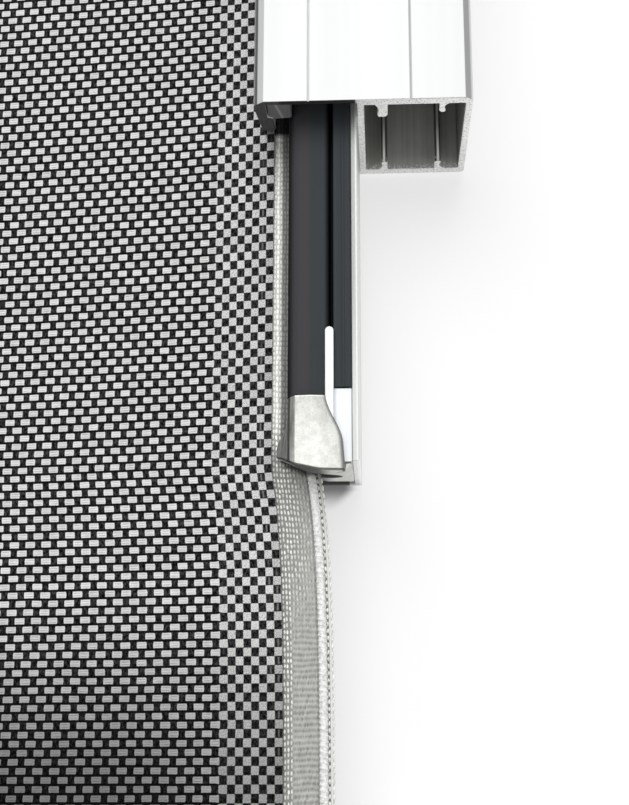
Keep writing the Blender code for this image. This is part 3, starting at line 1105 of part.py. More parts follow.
def main():
    for old in list(bpy.data.objects):
        bpy.data.objects.remove(old, do_unlink=True)
    white = material("powder_coated_white", (0.86, 0.87, 0.88), 0.35)
    raw = material("brushed_aluminium", (0.72, 0.73, 0.74), 0.32, 1.0)
    dark = material("anthracite_pvc", (0.055, 0.062, 0.068), 0.45)
    nickel = material("satin_nickel", (0.74, 0.73, 0.69), 0.38, 1.0)
    fabric = material("woven_screen", (0.26, 0.26, 0.26), 0.8)
    tape = material("zip_tape", (0.58, 0.58, 0.55), 0.85)
    coil = material("zip_coil", (0.78, 0.78, 0.75), 0.6)
    seal = material("grey_seal", (0.16, 0.16, 0.165), 0.7)
    plastic = material("white_plastic", (0.80, 0.80, 0.80), 0.45)
    grey = material("grey_plastic", (0.22, 0.22, 0.23), 0.5)
    black = material("black_rubber", (0.03, 0.03, 0.03), 0.75)
    steel = material("zinc_steel", (0.62, 0.62, 0.61), 0.35, 1.0)
    brass = material("gear_brass", (0.70, 0.52, 0.24), 0.35, 1.0)

    roller_axis = empty("roller_axis", (CENTER_X, -ROLLER_DEPTH, ROLLER_Z))
    crank_axis = empty("crank_axis", at(RIGHT, GEAR_MIDDLE, WORM_DEPTH, ROLLER_Z))
    idler_axis = empty("idler_axis", at(LEFT, TUBE_OUT, ROLLER_DEPTH, ROLLER_Z))
    bar_slide = empty("bar_slide", (CENTER_X, -FABRIC_DEPTH, BAR_TOP))

    side_channels(white)
    fixings(steel, plastic)
    carriers(raw)
    guides(dark)
    funnels(nickel)
    front_seals(seal)
    foot_caps(plastic)
    brackets(white, steel)
    gear_housing(grey, grey, steel)
    roller(roller_axis, raw, fabric, coil, plastic, steel)
    worm_wheel(roller_axis, brass)
    worm(crank_axis, steel)
    crank_eye(crank_axis, steel)
    idler_pin(idler_axis, steel, steel)
    bottom_bar(bar_slide, white, plastic, steel, coil, black)
    screen(fabric, tape, coil)


main()
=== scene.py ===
"""Side-guided outdoor screen blind: shapes and finishes of what shows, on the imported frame."""
import math

import bmesh
import bpy
from bpy.props import FloatProperty, FloatVectorProperty, IntProperty, PointerProperty
from mathutils import Matrix, Vector


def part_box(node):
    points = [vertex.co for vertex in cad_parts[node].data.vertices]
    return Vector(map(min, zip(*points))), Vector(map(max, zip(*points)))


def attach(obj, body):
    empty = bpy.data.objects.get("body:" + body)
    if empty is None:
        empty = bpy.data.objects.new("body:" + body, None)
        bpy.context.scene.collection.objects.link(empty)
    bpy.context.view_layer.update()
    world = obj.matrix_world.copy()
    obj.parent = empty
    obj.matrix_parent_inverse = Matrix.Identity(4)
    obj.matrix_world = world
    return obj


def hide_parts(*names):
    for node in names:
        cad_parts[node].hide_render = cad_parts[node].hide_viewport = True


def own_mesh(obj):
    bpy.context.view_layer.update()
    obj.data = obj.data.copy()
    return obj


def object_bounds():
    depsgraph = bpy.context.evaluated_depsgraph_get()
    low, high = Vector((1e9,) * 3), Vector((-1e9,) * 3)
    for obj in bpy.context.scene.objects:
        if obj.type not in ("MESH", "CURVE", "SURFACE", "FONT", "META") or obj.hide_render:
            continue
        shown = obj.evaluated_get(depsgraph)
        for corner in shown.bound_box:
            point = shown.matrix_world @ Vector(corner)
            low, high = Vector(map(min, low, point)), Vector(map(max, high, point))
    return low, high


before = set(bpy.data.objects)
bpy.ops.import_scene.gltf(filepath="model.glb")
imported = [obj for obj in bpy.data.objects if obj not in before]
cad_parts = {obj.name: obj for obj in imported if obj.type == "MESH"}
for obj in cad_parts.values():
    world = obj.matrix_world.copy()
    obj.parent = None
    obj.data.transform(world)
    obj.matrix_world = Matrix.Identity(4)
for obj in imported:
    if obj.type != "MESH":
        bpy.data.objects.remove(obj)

bl_info = {
    "name": "Side-guided screen blind",
    "version": (1, 0, 0),
    "blender": (4, 5, 0),
    "location": "View3D > Sidebar > Blind",
    "description": "Builds the visible pieces of an outdoor screen blind with welded zips",
    "category": "Object",
}

CAD_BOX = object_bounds()

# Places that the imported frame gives, in metres
CHANNEL_LOW, CHANNEL_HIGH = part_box("side_channel_left")
FABRIC_LOW, FABRIC_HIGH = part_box("screen_fabric")
ROLL_LOW, ROLL_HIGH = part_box("fabric_roll")
TAPE_LOW, TAPE_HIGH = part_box("zip_tape_left")
COIL_LOW, COIL_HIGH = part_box("zip_coil_left")
GUIDE_LOW, GUIDE_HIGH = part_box("zip_guide_left")
CARRIER_LOW, CARRIER_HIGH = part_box("carrier_rail_left")
FUNNEL_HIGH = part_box("inlet_funnel_left")[1]
TUBE_LOW, TUBE_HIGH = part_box("roller_tube")

CENTRE = (FABRIC_LOW.x + FABRIC_HIGH.x) / 2
INNER_EDGE = CENTRE - CHANNEL_HIGH.x            # from the middle to the channels' inner edges
CHANNEL_WIDTH = CHANNEL_HIGH.x - CHANNEL_LOW.x
CHANNEL_FRONT, CHANNEL_TOP = -CHANNEL_LOW.y, CHANNEL_HIGH.z
ROLLER_DEPTH = -(ROLL_LOW.y + ROLL_HIGH.y) / 2
ROLLER_HEIGHT = (ROLL_LOW.z + ROLL_HIGH.z) / 2
ROLL_RADIUS = (ROLL_HIGH.z - ROLL_LOW.z) / 2
TUBE_RADIUS = (TUBE_HIGH.z - TUBE_LOW.z) / 2
FABRIC_DEPTH = -(FABRIC_LOW.y + FABRIC_HIGH.y) / 2
TAPE_DEPTH = -(TAPE_LOW.y + TAPE_HIGH.y) / 2
GUIDE_FRONT = -GUIDE_LOW.y
GUIDE_TOP = 0.3134                              # where the insert's body ends
FUNNEL_TOP, FUNNEL_BACK = FUNNEL_HIGH.z, -FUNNEL_HIGH.y

# Places across a channel, out from its inner edge, and depths from the wall
FABRIC_OUT = CENTRE - FABRIC_LOW.x - INNER_EDGE  # the fabric's edge
TAPE_INNER = CENTRE - TAPE_HIGH.x - INNER_EDGE
COIL_START, SEAM_OUT, EDGE_OUT = 0.0084, 0.01017, 0.01095
TAPE_WIDTH = EDGE_OUT - TAPE_INNER
INSERT_OUT, INSERT_BACK = 0.0053, 0.0031
GROOVE_OUT, GROOVE_WIDTH, GROOVE_DEPTH = 0.01328, 0.00062, 0.0038
CASTING_RIGHT, MOUTH_RIGHT = 0.0126, 0.0148     # the casting's front at the insert, its mouth at the rim
STRIP_OUT = 0.01718                             # the strip meets the rail
RAIL_CORNER = 0.01805                           # where the painted highlight on the rail's outer corner starts
COIL_OUT, COIL_ROOM, SLOT_GAP = 0.0097, 0.0027, 0.0022
RIB_DEPTH = 0.0146                              # rib of the rail that snaps into the insert

# Heights between which a finish changes
RAIL_LIGHT = (0.290, 0.317)                     # painted light: the rail grows lighter towards its end
ROLL_SHADE = (0.3434, 0.3844)                   # the roll's shade on the fabric
INNER_SLITS, OUTER_SLITS = (0.352, 0.330), (0.335, 0.350)   # small slits along the welded band's two sides
KNOTS_FADE = (0.362, 0.338)                     # the tape's knots fade to ribs

FUNNEL_POINTS = 121                             # points round the funnel's section
RIM_START, RIM_SHARE = 0.975, 0.025             # where the rim's rounding starts, and its share of the funnel
MOUTH_MARK = 2.0                                # the map's v on the faces that close the funnel's ends
CLEAN = 0.0001                                  # chamfer of the small profiles' cut ends
SOFT = 0.0001                                   # half of a crisp edge between two tones
INSIDE_SHADE = 0.13                             # painted shade: the funnel's inside is that much of the nickel's colour
WHITE_LIGHT = (1.0, 1.0, 1.0, 1.0)
LEFT, RIGHT = -1, 1
SIDES = ((LEFT, "left"), (RIGHT, "right"))
LEVELS = ("upper", "lower")


def linear(code):
    """Linear colour of a six-digit screen colour."""
    parts = [int(code[i:i + 2], 16) / 255 for i in (0, 2, 4)]
    return tuple(p / 12.92 if p <= 0.04045 else ((p + 0.055) / 1.055) ** 2.4 for p in parts)


def length(name, description, default):
    """A size in metres for the panel."""
    return FloatProperty(name=name, description=description, default=default, min=0.0, precision=5,
                         subtype="DISTANCE", unit="LENGTH")


def colour(name, description, code):
    """A colour for the panel, from its six-digit screen colour."""
    return FloatVectorProperty(name=name, description=description, default=linear(code), size=3,
                               min=0.0, max=1.0, subtype="COLOR")


class ExtrusionSizes(bpy.types.PropertyGroup):
    """Sizes of the side channels' section"""
    corner: length("Channel corner", "Rounding of the channel's rear edges", 0.0009)
    inner_chamfer: length("Inner chamfer", "Chamfer along the front face's inner edge", 0.0011)
    outer_chamfer: length("Outer chamfer", "Chamfer along the front face's outer edge", 0.0015)
    wall: length("Channel wall", "Wall of the open part", 0.0013)
    face: length("Chamber face", "Front and back wall of the screw chamber", 0.0022)
    chamber: length("Chamber place", "From the inner edge to the closed screw chamber", 0.0186)
    front_lip: length("Front lip", "Depth of the lip before the fabric", 0.012)
    back_lip: length("Back lip", "Depth of the lip behind the fabric", 0.0136)
    port: length("Screw port", "Width of the round ports beside the ribs", 0.0031)
    rib: length("Rib", "Thickness of the chamber's ribs", 0.0014)
    hook: length("Long rib", "Thickness of the long rib", 0.0021)
    rib_height: length("Rib height", "Height of the short ribs", 0.0035)
    hook_height: length("Long rib height", "Height of the long rib", 0.0050)
    line: length("Drilling line", "Width of the fine lines on the front", 0.0006)
    line_inner: length("First line", "From the inner edge to the first line", 0.00953)
    line_outer: length("Second line", "From the inner edge to the second line", 0.02878)
    broken_edge: length("Broken edge", "Chamfer of the sawn ends", 0.00012)


class FunnelSizes(bpy.types.PropertyGroup):
    """Sizes of the inlet funnels"""
    proud: length("Proud", "Front face above the insert", 0.0013)
    flare: length("Flare", "More of the same at the rim", 0.0007)
    side_flare: length("Side flare", "How far the front widens towards the rail", 0.0033)
    lip_flare: length("Lip flare", "How far the slot's lip turns to the fabric", 0.0021)
    bow: length("Bow", "Curve of the rim", 0.0037)
    setback: length("Setback", "The back of the mouth ends below its front", 0.0017)
    rim: length("Rim", "Rounding of the rim", 0.00045)
    mouth: length("Mouth", "Slot at the rim", 0.0052)
    tongue_reach: length("Tongue", "Length of the tongue below the insert's end", 0.0112)
    shoulder: length("Shoulder", "From the insert's side to the front face's edge", 0.0017)
    bevel: length("Bevel", "Width of the bevel beside the flank", 0.0010)


class ClothSizes(bpy.types.PropertyGroup):
    """Sizes of the weave, the tapes and the coils"""
    warp: length("Welded warp pitch", "Distance between two warp yarns in the welded band", 0.0014)
    warp_field: length("Warp pitch", "Distance between two warp yarns in the open field", 0.00146)
    weft: length("Weft pitch", "Distance between two rows", 0.0016)
    weld: length("Welded band", "Width of the pressed band along the edge", 0.0107)
    drift: length("Drift", "How far the free edge and its zip lie outwards past the funnel", 0.0026)
    row_bow: length("Row bow", "Reach of the curve that the rows take beside the edge", 0.120)
    knot_row: length("Knot rows", "Distance between two rows of knots on the tape", 0.00103)
    knot_column: length("Knot columns", "Distance between two knots in a row", 0.00062)
    coil_pitch: length("Coil pitch", "Length of one turn of the coil", 0.00096)
    coil_wire: length("Coil wire", "Radius of the monofilament", 0.00029)
    seam_pitch: length("Seam pitch", "Length of one stitch beside the coil", 0.00125)
    loop_pitch: length("Loop pitch", "Length of one loop along the tape's outer edge", 0.00138)
    rows_slope: FloatProperty(name="Row slope", description="Slope of the rows beside the channel's end",
                              default=0.088, min=0.0, max=0.3)


class HeadSizes(bpy.types.PropertyGroup):
    """Sizes of the roll and the crank eye"""
    eye_wire: length("Eye wire", "Radius of the crank eye's rod", 0.0024)
    eye_radius: length("Eye radius", "Radius of the crank eye", 0.0095)
    fabric_layer: length("Layer", "Thickness of one wound layer", 0.00058)
    wound_turns: IntProperty(name="Turns", description="Wound layers of fabric", default=2, min=1, max=20)


class FinishColours(bpy.types.PropertyGroup):
    """Colours of the finishes"""
    powder: colour("Powder coat", "White coat of the channels", "FAFBFB")
    sawn: colour("Sawn end", "Bare aluminium of the cut ends", "F6F6F4")
    chamber: colour("Chamber", "Inside of the screw chamber", "B0B0AC")
    rail: colour("Rail", "Satin aluminium rail", "D3D5D3")
    insert: colour("Insert", "Anthracite guide insert", "3A3F42")
    polish: colour("Polished metal", "Web and tongue of the funnel", "F6F9FC")
    nickel: colour("Nickel", "Satin nickel casting", "EFF0EA")
    weft: colour("Weft", "Light yarn", "DADAD9")
    warp: colour("Warp", "Charcoal yarn", "242424")
    gap: colour("Gap", "Between the rows", "0B0B0B")
    tape: colour("Tape", "Woven zip tape", "C2C2BE")
    coil: colour("Coil", "Zip coil and thread", "F0F0EE")
    seal: colour("Seal", "Soft lip seal", "6E6E70")
    white_plastic: colour("White plastic", "Caps and plugs", "ECECEC")
    grey_plastic: colour("Grey plastic", "Gear housing", "6A6B6D")
    rubber: colour("Rubber", "Bottom seal", "2A2A2A")
    steel: colour("Steel", "Zinc-plated steel", "DADAD6")
    brass: colour("Brass", "Worm wheel", "DCC38A")


class StudioSettings(bpy.types.PropertyGroup):
    """Light and backdrop"""
    key: FloatProperty(name="Key light", description="Strength of the soft key light", default=1.55, min=0.0)
    fill: FloatProperty(name="Fill light", description="Strength of the surrounding light",
                        default=0.57, min=0.0)
    softness: FloatProperty(name="Softness", description="Apparent size of the key light",
                            default=math.radians(46), min=0.0, subtype="ANGLE")
    paper: colour("Paper", "Floor and backdrop", "FBFBFB")


# Drawing

def at(side, out, depth, z):
    """World place of a point that is drawn beside one of the channels."""
    return Vector((CENTRE + side * (INNER_EDGE + out), -depth, z))


def arc(x, y, radius, start, end, steps):
    """Points round (x, y) from one angle to another."""
    angles = (start + (end - start) * step / steps for step in range(steps + 1))
    return [(x + radius * math.cos(angle), y + radius * math.sin(angle)) for angle in angles]


def fillet(corners, steps=5):
    """Outline from (x, y, radius) corners, each rounded with a short arc."""
    points = []
    for index, (x, y, radius) in enumerate(corners):
        corner = Vector((x, y))
        before = Vector(corners[index - 1][:2]) - corner
        after = Vector(corners[(index + 1) % len(corners)][:2]) - corner
        if radius <= 0:
            points.append((x, y))
            continue
        half = before.angle(after) / 2
        if half > 1.56:
            points += [(x, y)] * (steps + 1)
            continue
        cut = min(radius / math.tan(half), 0.48 * before.length, 0.48 * after.length)
        centre = corner + (before.normalized() + after.normalized()).normalized() * cut / math.cos(half)
        first = corner + before.normalized() * cut - centre
        last = corner + after.normalized() * cut - centre
        start = math.atan2(first.y, first.x)
        turn = (math.atan2(last.y, last.x) - start + math.pi) % (2 * math.pi) - math.pi
        points += arc(centre.x, centre.y, first.length, start, start + turn, steps)
    return points


def box_outline(x0, x1, y0, y1, radius=0.0, steps=4):
    """Rectangle with rounded corners."""
    return fillet([(x0, y0, radius), (x1, y0, radius), (x1, y1, radius), (x0, y1, radius)], steps)


def drawn_in(loop, distance):
    """The same loop moved towards its inside, or outwards for a negative distance."""
    area = sum(loop[i - 1][0] * loop[i][1] - loop[i][0] * loop[i - 1][1] for i in range(len(loop)))
    turn = 1 if area > 0 else -1
    moved = []
    for i, point in enumerate(loop):
        before = Vector(point) - Vector(loop[i - 1])
        after = Vector(loop[(i + 1) % len(loop)]) - Vector(point)
        first = Vector((-before.y, before.x)).normalized()
        normal = (first + Vector((-after.y, after.x)).normalized()).normalized()
        moved.append(tuple(Vector(point) + normal * turn * distance / max(normal.dot(first), 0.6)))
    return moved


def extruded(loops, place, start, end, broken=0.0, end_index=1, hole_index=0):
    """Closed body between two planes: the first loop is the outline, the others are holes.

    place(u, v, w) gives the world point of a loop point (u, v) at the distance w. The walls of the
    outline take material 0, the cut ends end_index and the walls of the holes hole_index. broken is
    the small chamfer that breaks the edges of the cut ends.
    """
    body = bmesh.new()
    direction = 1 if end > start else -1
    caps = ([], [])
    for number, loop in enumerate(loops):
        inner = drawn_in(loop, broken if number == 0 else -broken) if broken else loop
        chamfer = direction * broken
        rows = [(inner, start), (loop, start + chamfer), (loop, end - chamfer), (inner, end)]
        if not broken:
            rows = rows[1:3]
        rings = [[body.verts.new(place(u, v, w)) for u, v in row] for row, w in rows]
        for step, (low, high) in enumerate(zip(rings, rings[1:])):
            for i in range(len(loop)):
                face = body.faces.new((low[i - 1], low[i], high[i], high[i - 1]))
                is_wall = not broken or step == 1
                face.material_index = (0 if number == 0 else hole_index) if is_wall else end_index
        for cap, ring in zip(caps, (rings[0], rings[-1])):
            cap += [body.edges.get((ring[i - 1], ring[i])) for i in range(len(ring))]
    for edges in caps:
        filled = bmesh.ops.triangle_fill(body, use_beauty=True, use_dissolve=False, edges=edges)
        for item in filled["geom"]:
            if isinstance(item, bmesh.types.BMFace):
                item.material_index = end_index
    bmesh.ops.recalc_face_normals(body, faces=body.faces)
    return body


def upright(side, loops, bottom, top, **options):
    """Body drawn beside one of the channels, between two heights."""
    return extruded(loops, lambda out, depth, z: at(side, out, depth, z), bottom, top, **options)


def full_turn(count):
    """Even angles round a circle."""
    return [2 * math.pi * step / count for step in range(count)]


def turned(profile, origin, axis, steps=48, closed=False):
    """Revolved body: the profile lists (distance along the axis, radius)."""
    body = bmesh.new()
    axis = Vector(axis).normalized()
    across = axis.orthogonal().normalized()
    rim = [body.verts.new(Vector(origin) + axis * along + across * radius) for along, radius in profile]
    edges = [body.edges.new(pair) for pair in zip(rim, rim[1:] + rim[:1] if closed else rim[1:])]
    bmesh.ops.spin(body, geom=rim + edges, cent=origin, axis=axis, angle=2 * math.pi, steps=steps,
                   use_merge=True)
    bmesh.ops.remove_doubles(body, verts=body.verts, dist=1e-6)
    bmesh.ops.recalc_face_normals(body, faces=body.faces)
    return body


def lofted(rings, looped=False):
    """Closed body through rings of equal length."""
    body = bmesh.new()
    rows = [[body.verts.new(point) for point in ring] for ring in rings]
    for low, high in zip(rows, rows[1:] + rows[:1] if looped else rows[1:]):
        for i, start in enumerate(low):
            j = (i + 1) % len(low)
            body.faces.new((start, low[j], high[j], high[i]))
    if not looped:
        for row in (rows[0], rows[-1]):
            edges = [body.edges.get((row[i - 1], row[i])) for i in range(len(row))]
            bmesh.ops.triangle_fill(body, use_beauty=True, use_dissolve=False, edges=edges)
    bmesh.ops.recalc_face_normals(body, faces=body.faces)
    return body


def joined(*bodies):
    """One mesh of several closed bodies."""
    whole = bodies[0]
    for body in bodies[1:]:
        extra = bpy.data.meshes.new("joined")
        body.to_mesh(extra)
        body.free()
        whole.from_mesh(extra)
        bpy.data.meshes.remove(extra)
    return whole


def smooth(value):
    """Soft step from 0 to 1."""
    value = min(max(value, 0.0), 1.0)
    return value * value * (3 - 2 * value)


def named(name, body, finishes, sharp=38):
    """Object at the origin with its finishes, and soft shading between small angles."""
    if isinstance(body, bmesh.types.BMesh):
        mesh = bpy.data.meshes.new(name)
        body.to_mesh(mesh)
        body.free()
    else:
        mesh = body
        mesh.name = name
        mesh.materials.clear()
    for finish in finishes:
        mesh.materials.append(finish)
    piece = bpy.data.objects.new(name, mesh)
    bpy.context.scene.collection.objects.link(piece)
    mesh.shade_smooth()
    mesh.set_sharp_from_angle(angle=math.radians(sharp))
    return piece


def evaluated(holder):
    """Plain mesh of an object with its modifiers."""
    graph = bpy.context.evaluated_depsgraph_get()
    return bpy.data.meshes.new_from_object(holder.evaluated_get(graph), depsgraph=graph)


def cut(piece, *bodies, index=1):
    """Cut closed helper bodies out of a piece; the cut walls take the finish at index."""
    for body in bodies:
        for face in body.faces:
            face.material_index = index
        cutter = named("cutter", body, piece.data.materials)
        change = piece.modifiers.new("cut", "BOOLEAN")
        change.operation = "DIFFERENCE"
        change.solver = "EXACT"
        change.material_mode = "INDEX"
        change.object = cutter
        result, old = evaluated(piece), piece.data
        piece.modifiers.remove(change)
        piece.data = result
        result.name = piece.name
        bpy.data.meshes.remove(old)
        bpy.data.objects.remove(cutter)
    piece.data.shade_smooth()
    piece.data.set_sharp_from_angle(angle=math.radians(38))
    return piece


def placed(piece, body, slot, *nodes):
    """Let the piece ride on its body and stand for its CAD nodes; slot is not used."""
    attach(piece, body)
    if nodes:
        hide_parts(*nodes)
    return piece


# Nodes

def fed(tree, value, slot):
    """Link a node's first output, a socket or an Amount to a slot, or set a plain value on it."""
    value = value.outputs[0] if isinstance(value, bpy.types.Node) else getattr(value, "socket", value)
    if isinstance(value, bpy.types.NodeSocket):
        tree.links.new(value, slot)
    else:
        slot.default_value = value


def added(tree, kind, inputs=(), **settings):
    """New node; inputs gives the value of each input by its name or its place."""
    node = tree.nodes.new(kind)
    for key, value in settings.items():
        setattr(node, key, value)
    for slot, value in dict(inputs).items():
        fed(tree, value, node.inputs[slot])
    return node


class Amount:
    """A number inside a finish; arithmetic on it becomes Math nodes."""

    def __init__(self, tree, socket):
        self.tree, self.socket = tree, socket

    def math(self, operation, *others):
        node = added(self.tree, "ShaderNodeMath", enumerate((self, *others)), operation=operation)
        return Amount(self.tree, node.outputs[0])

    def __add__(self, other):
        return self.math("ADD", other)

    def __sub__(self, other):
        return self.math("SUBTRACT", other)

    def __mul__(self, other):
        return self.math("MULTIPLY", other)

    __radd__, __rmul__ = __add__, __mul__

    def __rsub__(self, other):
        return (self * -1).math("ADD", other)

    def floor(self):
        return self.math("FLOOR")

    def fraction(self):
        return self.math("FRACT")

    def away(self, middle):
        """Distance from a value."""
        return (self - middle).math("ABSOLUTE")

    def zigzag(self, scale=1.0):
        return self.math("PINGPONG", scale)

    def lesser(self, other):
        return self.math("MINIMUM", other)

    def greater(self, other):
        return self.math("MAXIMUM", other)

    def power(self, exponent):
        return self.math("POWER", exponent)

    def ramp(self, low, high):
        """0 below low and 1 above high with a soft step between them, or the reverse where high is lower."""
        node = added(self.tree, "ShaderNodeMapRange", {
            "Value": self, "From Min": min(low, high), "From Max": max(low, high),
            "To Min": float(high < low), "To Max": float(high >= low)}, interpolation_type="SMOOTHSTEP")
        return Amount(self.tree, node.outputs["Result"])


class Finish:
    """One procedural material while it is being made."""

    def __init__(self, name, base, roughness, metallic=0.0, specular=0.5):
        self.material = bpy.data.materials.new(name)
        self.material.use_nodes = True
        self.material.diffuse_color = (*base, 1.0)
        self.tree = self.material.node_tree
        self.shader = self.tree.nodes["Principled BSDF"].inputs
        for slot, value in (("Base Color", (*base, 1.0)), ("Roughness", roughness), ("Metallic", metallic),
                            ("Specular IOR Level", specular)):
            self.shader[slot].default_value = value

    def node(self, kind, inputs=(), **settings):
        return added(self.tree, kind, inputs, **settings)

    def place(self, x=1.0, y=1.0, z=1.0, source="Object", turn=0.0):
        """Object or UV coordinates, stretched by a scale on each axis."""
        coordinates = self.node("ShaderNodeTexCoord").outputs[source]
        return self.node("ShaderNodeMapping", {
            "Vector": coordinates, "Scale": (x, y, z), "Rotation": (0.0, 0.0, turn)}).outputs["Vector"]

    def parts(self, vector):
        """The three numbers of a vector."""
        return [Amount(self.tree, part) for part in self.node("ShaderNodeSeparateXYZ", {0: vector}).outputs]

    def beside(self):
        """The place beside a channel: out from its inner edge, depth from the wall, and height."""
        x, y, z = self.parts(self.place())
        return x.away(CENTRE) - INNER_EDGE, y * -1.0, z

    def vector(self, x, y, z=0.0):
        return self.node("ShaderNodeCombineXYZ", enumerate((x, y, z))).outputs[0]

    def noise(self, vector, scale=1.0, detail=2.0, rough=0.5):
        return Amount(self.tree, self.node("ShaderNodeTexNoise", {
            "Vector": vector, "Scale": scale, "Detail": detail, "Roughness": rough}).outputs[0])

    def grain(self, scale, detail=2.0, rough=0.5):
        """Noise of one size along every axis."""
        return self.noise(self.place(), scale, detail, rough)

    def drawn(self, x, y, z, detail=2.0, rough=0.5, turn=0.0):
        """Noise stretched along an axis, as draw lines and streaks are."""
        return self.noise(self.place(x, y, z, turn=turn), 1.0, detail, rough)

    def woven(self, across, along, detail=2.0, rough=0.5):
        """Noise on the map of a cloth."""
        return self.noise(self.vector(across, along), 1.0, detail, rough)

    def chance(self, x, y):
        """An even random number for each pair of whole numbers."""
        noise = self.node("ShaderNodeTexWhiteNoise", {"Vector": self.vector(x, y)})
        return Amount(self.tree, noise.outputs["Value"])

    def mix(self, share, first, second):
        node = self.node("ShaderNodeMix", {0: share}, data_type="RGBA")
        for slot, value in ((6, first), (7, second)):
            is_linked = isinstance(value, bpy.types.NodeSocket)
            fed(self.tree, value if is_linked else (*value, 1.0), node.inputs[slot])
        return node.outputs[2]

    def shade(self, tone, amount):
        """The colour made lighter or darker by a number around 1."""
        return self.node("ShaderNodeVectorMath", {0: tone, "Scale": amount}, operation="SCALE").outputs[0]

    def paint(self, tone):
        fed(self.tree, tone, self.shader["Base Color"])

    def metal(self, amount):
        fed(self.tree, amount, self.shader["Metallic"])

    def rough(self, amount):
        fed(self.tree, amount, self.shader["Roughness"])

    def relief(self, height, distance, strength=1.0):
        """Bumps of the given depth in metres."""
        bump = self.node("ShaderNodeBump", {"Distance": distance, "Strength": strength, "Height": height})
        fed(self.tree, bump, self.shader["Normal"])


# Finishes

FINISHES = {}


def tone(value, share):
    """A colour made darker by a share below 1."""
    return tuple(part * share for part in value)


def finish(name, base, roughness, metallic=0.0, specular=0.5, share=1.0):
    """Turn a function that draws a finish into one that gives its material, made once."""
    def drawn_by(draw):
        def material():
            if name not in FINISHES:
                colours = bpy.context.scene.blind_colours
                made = Finish(name, tone(getattr(colours, base), share), roughness, metallic, specular)
                draw(made, colours)
                FINISHES[name] = made.material
            return FINISHES[name]
        return material
    return drawn_by


def coated(made, colours, lengthwise, edge_shade):
    """Smooth coat with faint draw lines and a fine orange peel; on the channels, painted shade on the
    chamfers, drilling lines and bead, and a painted highlight on the outer rim.
    """
    draw = made.drawn(*lengthwise)
    broad = made.drawn(55, 55, 1.2, 1.0)
    peel = made.grain(1500)
    tint = 0.965 + 0.03 * draw.ramp(0.35, 0.65) + 0.02 * broad.ramp(0.3, 0.7)
    if edge_shade:
        sizes = bpy.context.scene.blind_extrusions
        out, depth, _ = made.beside()
        front, outer_start, line = CHANNEL_FRONT, CHANNEL_WIDTH - sizes.outer_chamfer, (0.00030, 0.00012)
        outer = out.ramp(outer_start - SOFT, outer_start + SOFT)
        inner = out.ramp(sizes.inner_chamfer + SOFT, sizes.inner_chamfer - SOFT)
        rim = out.ramp(CHANNEL_WIDTH - 0.0005, CHANNEL_WIDTH - 0.0003)
        slopes = depth.ramp(front - 0.0014, front - 0.0009)
        # painted shade on the front's chamfers, with a painted highlight where the outer one meets the side
        tint = tint * (1 - slopes * (0.34 * inner + 0.58 * outer * (1 - 0.5 * rim)))
        # painted shade in the grooves of the two drilling lines
        on_front = depth.ramp(front - 0.0008, front - 0.0006)
        tint = tint * (1 - on_front * (0.20 * out.away(sizes.line_inner).ramp(*line)
                                       + 0.34 * out.away(sizes.line_outer).ramp(*line)))
        # painted shade on the lip's bead over the fabric, darkest along a line just behind the front
        step = 0.62 + 0.24 * depth.away(front - 0.0012).ramp(0.0003, 0.0001)
        tint = tint * (1 - step * out.ramp(0.0, -0.0002) * depth.ramp(front - 0.0100, front - 0.0090))
    made.paint(made.shade(colours.powder, tint))
    made.rough(0.36 + 0.10 * peel)
    made.relief(peel, 0.00002, 0.5)


@finish("powder_coat_white", "powder", 0.4, specular=0.3)
def powder_coat(made, colours):
    """White coat of the channels, drawn along their height"""
    coated(made, colours, (240, 240, 2.5), edge_shade=True)


@finish("powder_coat_plain", "powder", 0.4, specular=0.3)
def plain_coat(made, colours):
    """White coat of the bottom bar and the brackets, drawn across"""
    coated(made, colours, (2.5, 240, 240), edge_shade=False)


@finish("sawn_aluminium", "sawn", 0.5, specular=0.04)
def sawn_end(made, colours):
    """Bare cut aluminium: saw lines, bright and dark specks; painted shade where the section is open, and a
    little darker towards the wall.
    """
    lines = made.drawn(180, 3600, 600, 3.0, 0.7, turn=0.35)
    specks = made.grain(2300, 2.0, 0.8)
    cloud = made.grain(700)
    out, depth, _ = made.beside()
    open_part = bpy.context.scene.blind_extrusions.chamber
    closed = out.ramp(open_part - 0.0004, open_part - 0.0001)
    # painted shade on the open part's cut end, a little less on the lip's end
    open_shade = 0.05 + 0.08 * out.ramp(0.0046, 0.0036) + 0.95 * closed
    rear = 0.88 + 0.12 * depth.ramp(0.004, 0.020)
    spread = (0.92 + 0.14 * lines.ramp(0.3, 0.7) + 0.30 * specks.ramp(0.55, 0.66)
              - 0.50 * specks.ramp(0.45, 0.34))
    made.paint(made.shade(colours.sawn, (spread + 0.2 * (cloud - 0.5)) * open_shade * rear))
    made.metal(0.92 * closed)
    made.rough(0.42 + 0.24 * lines)
    made.relief(lines + specks, 0.00004, 0.6)


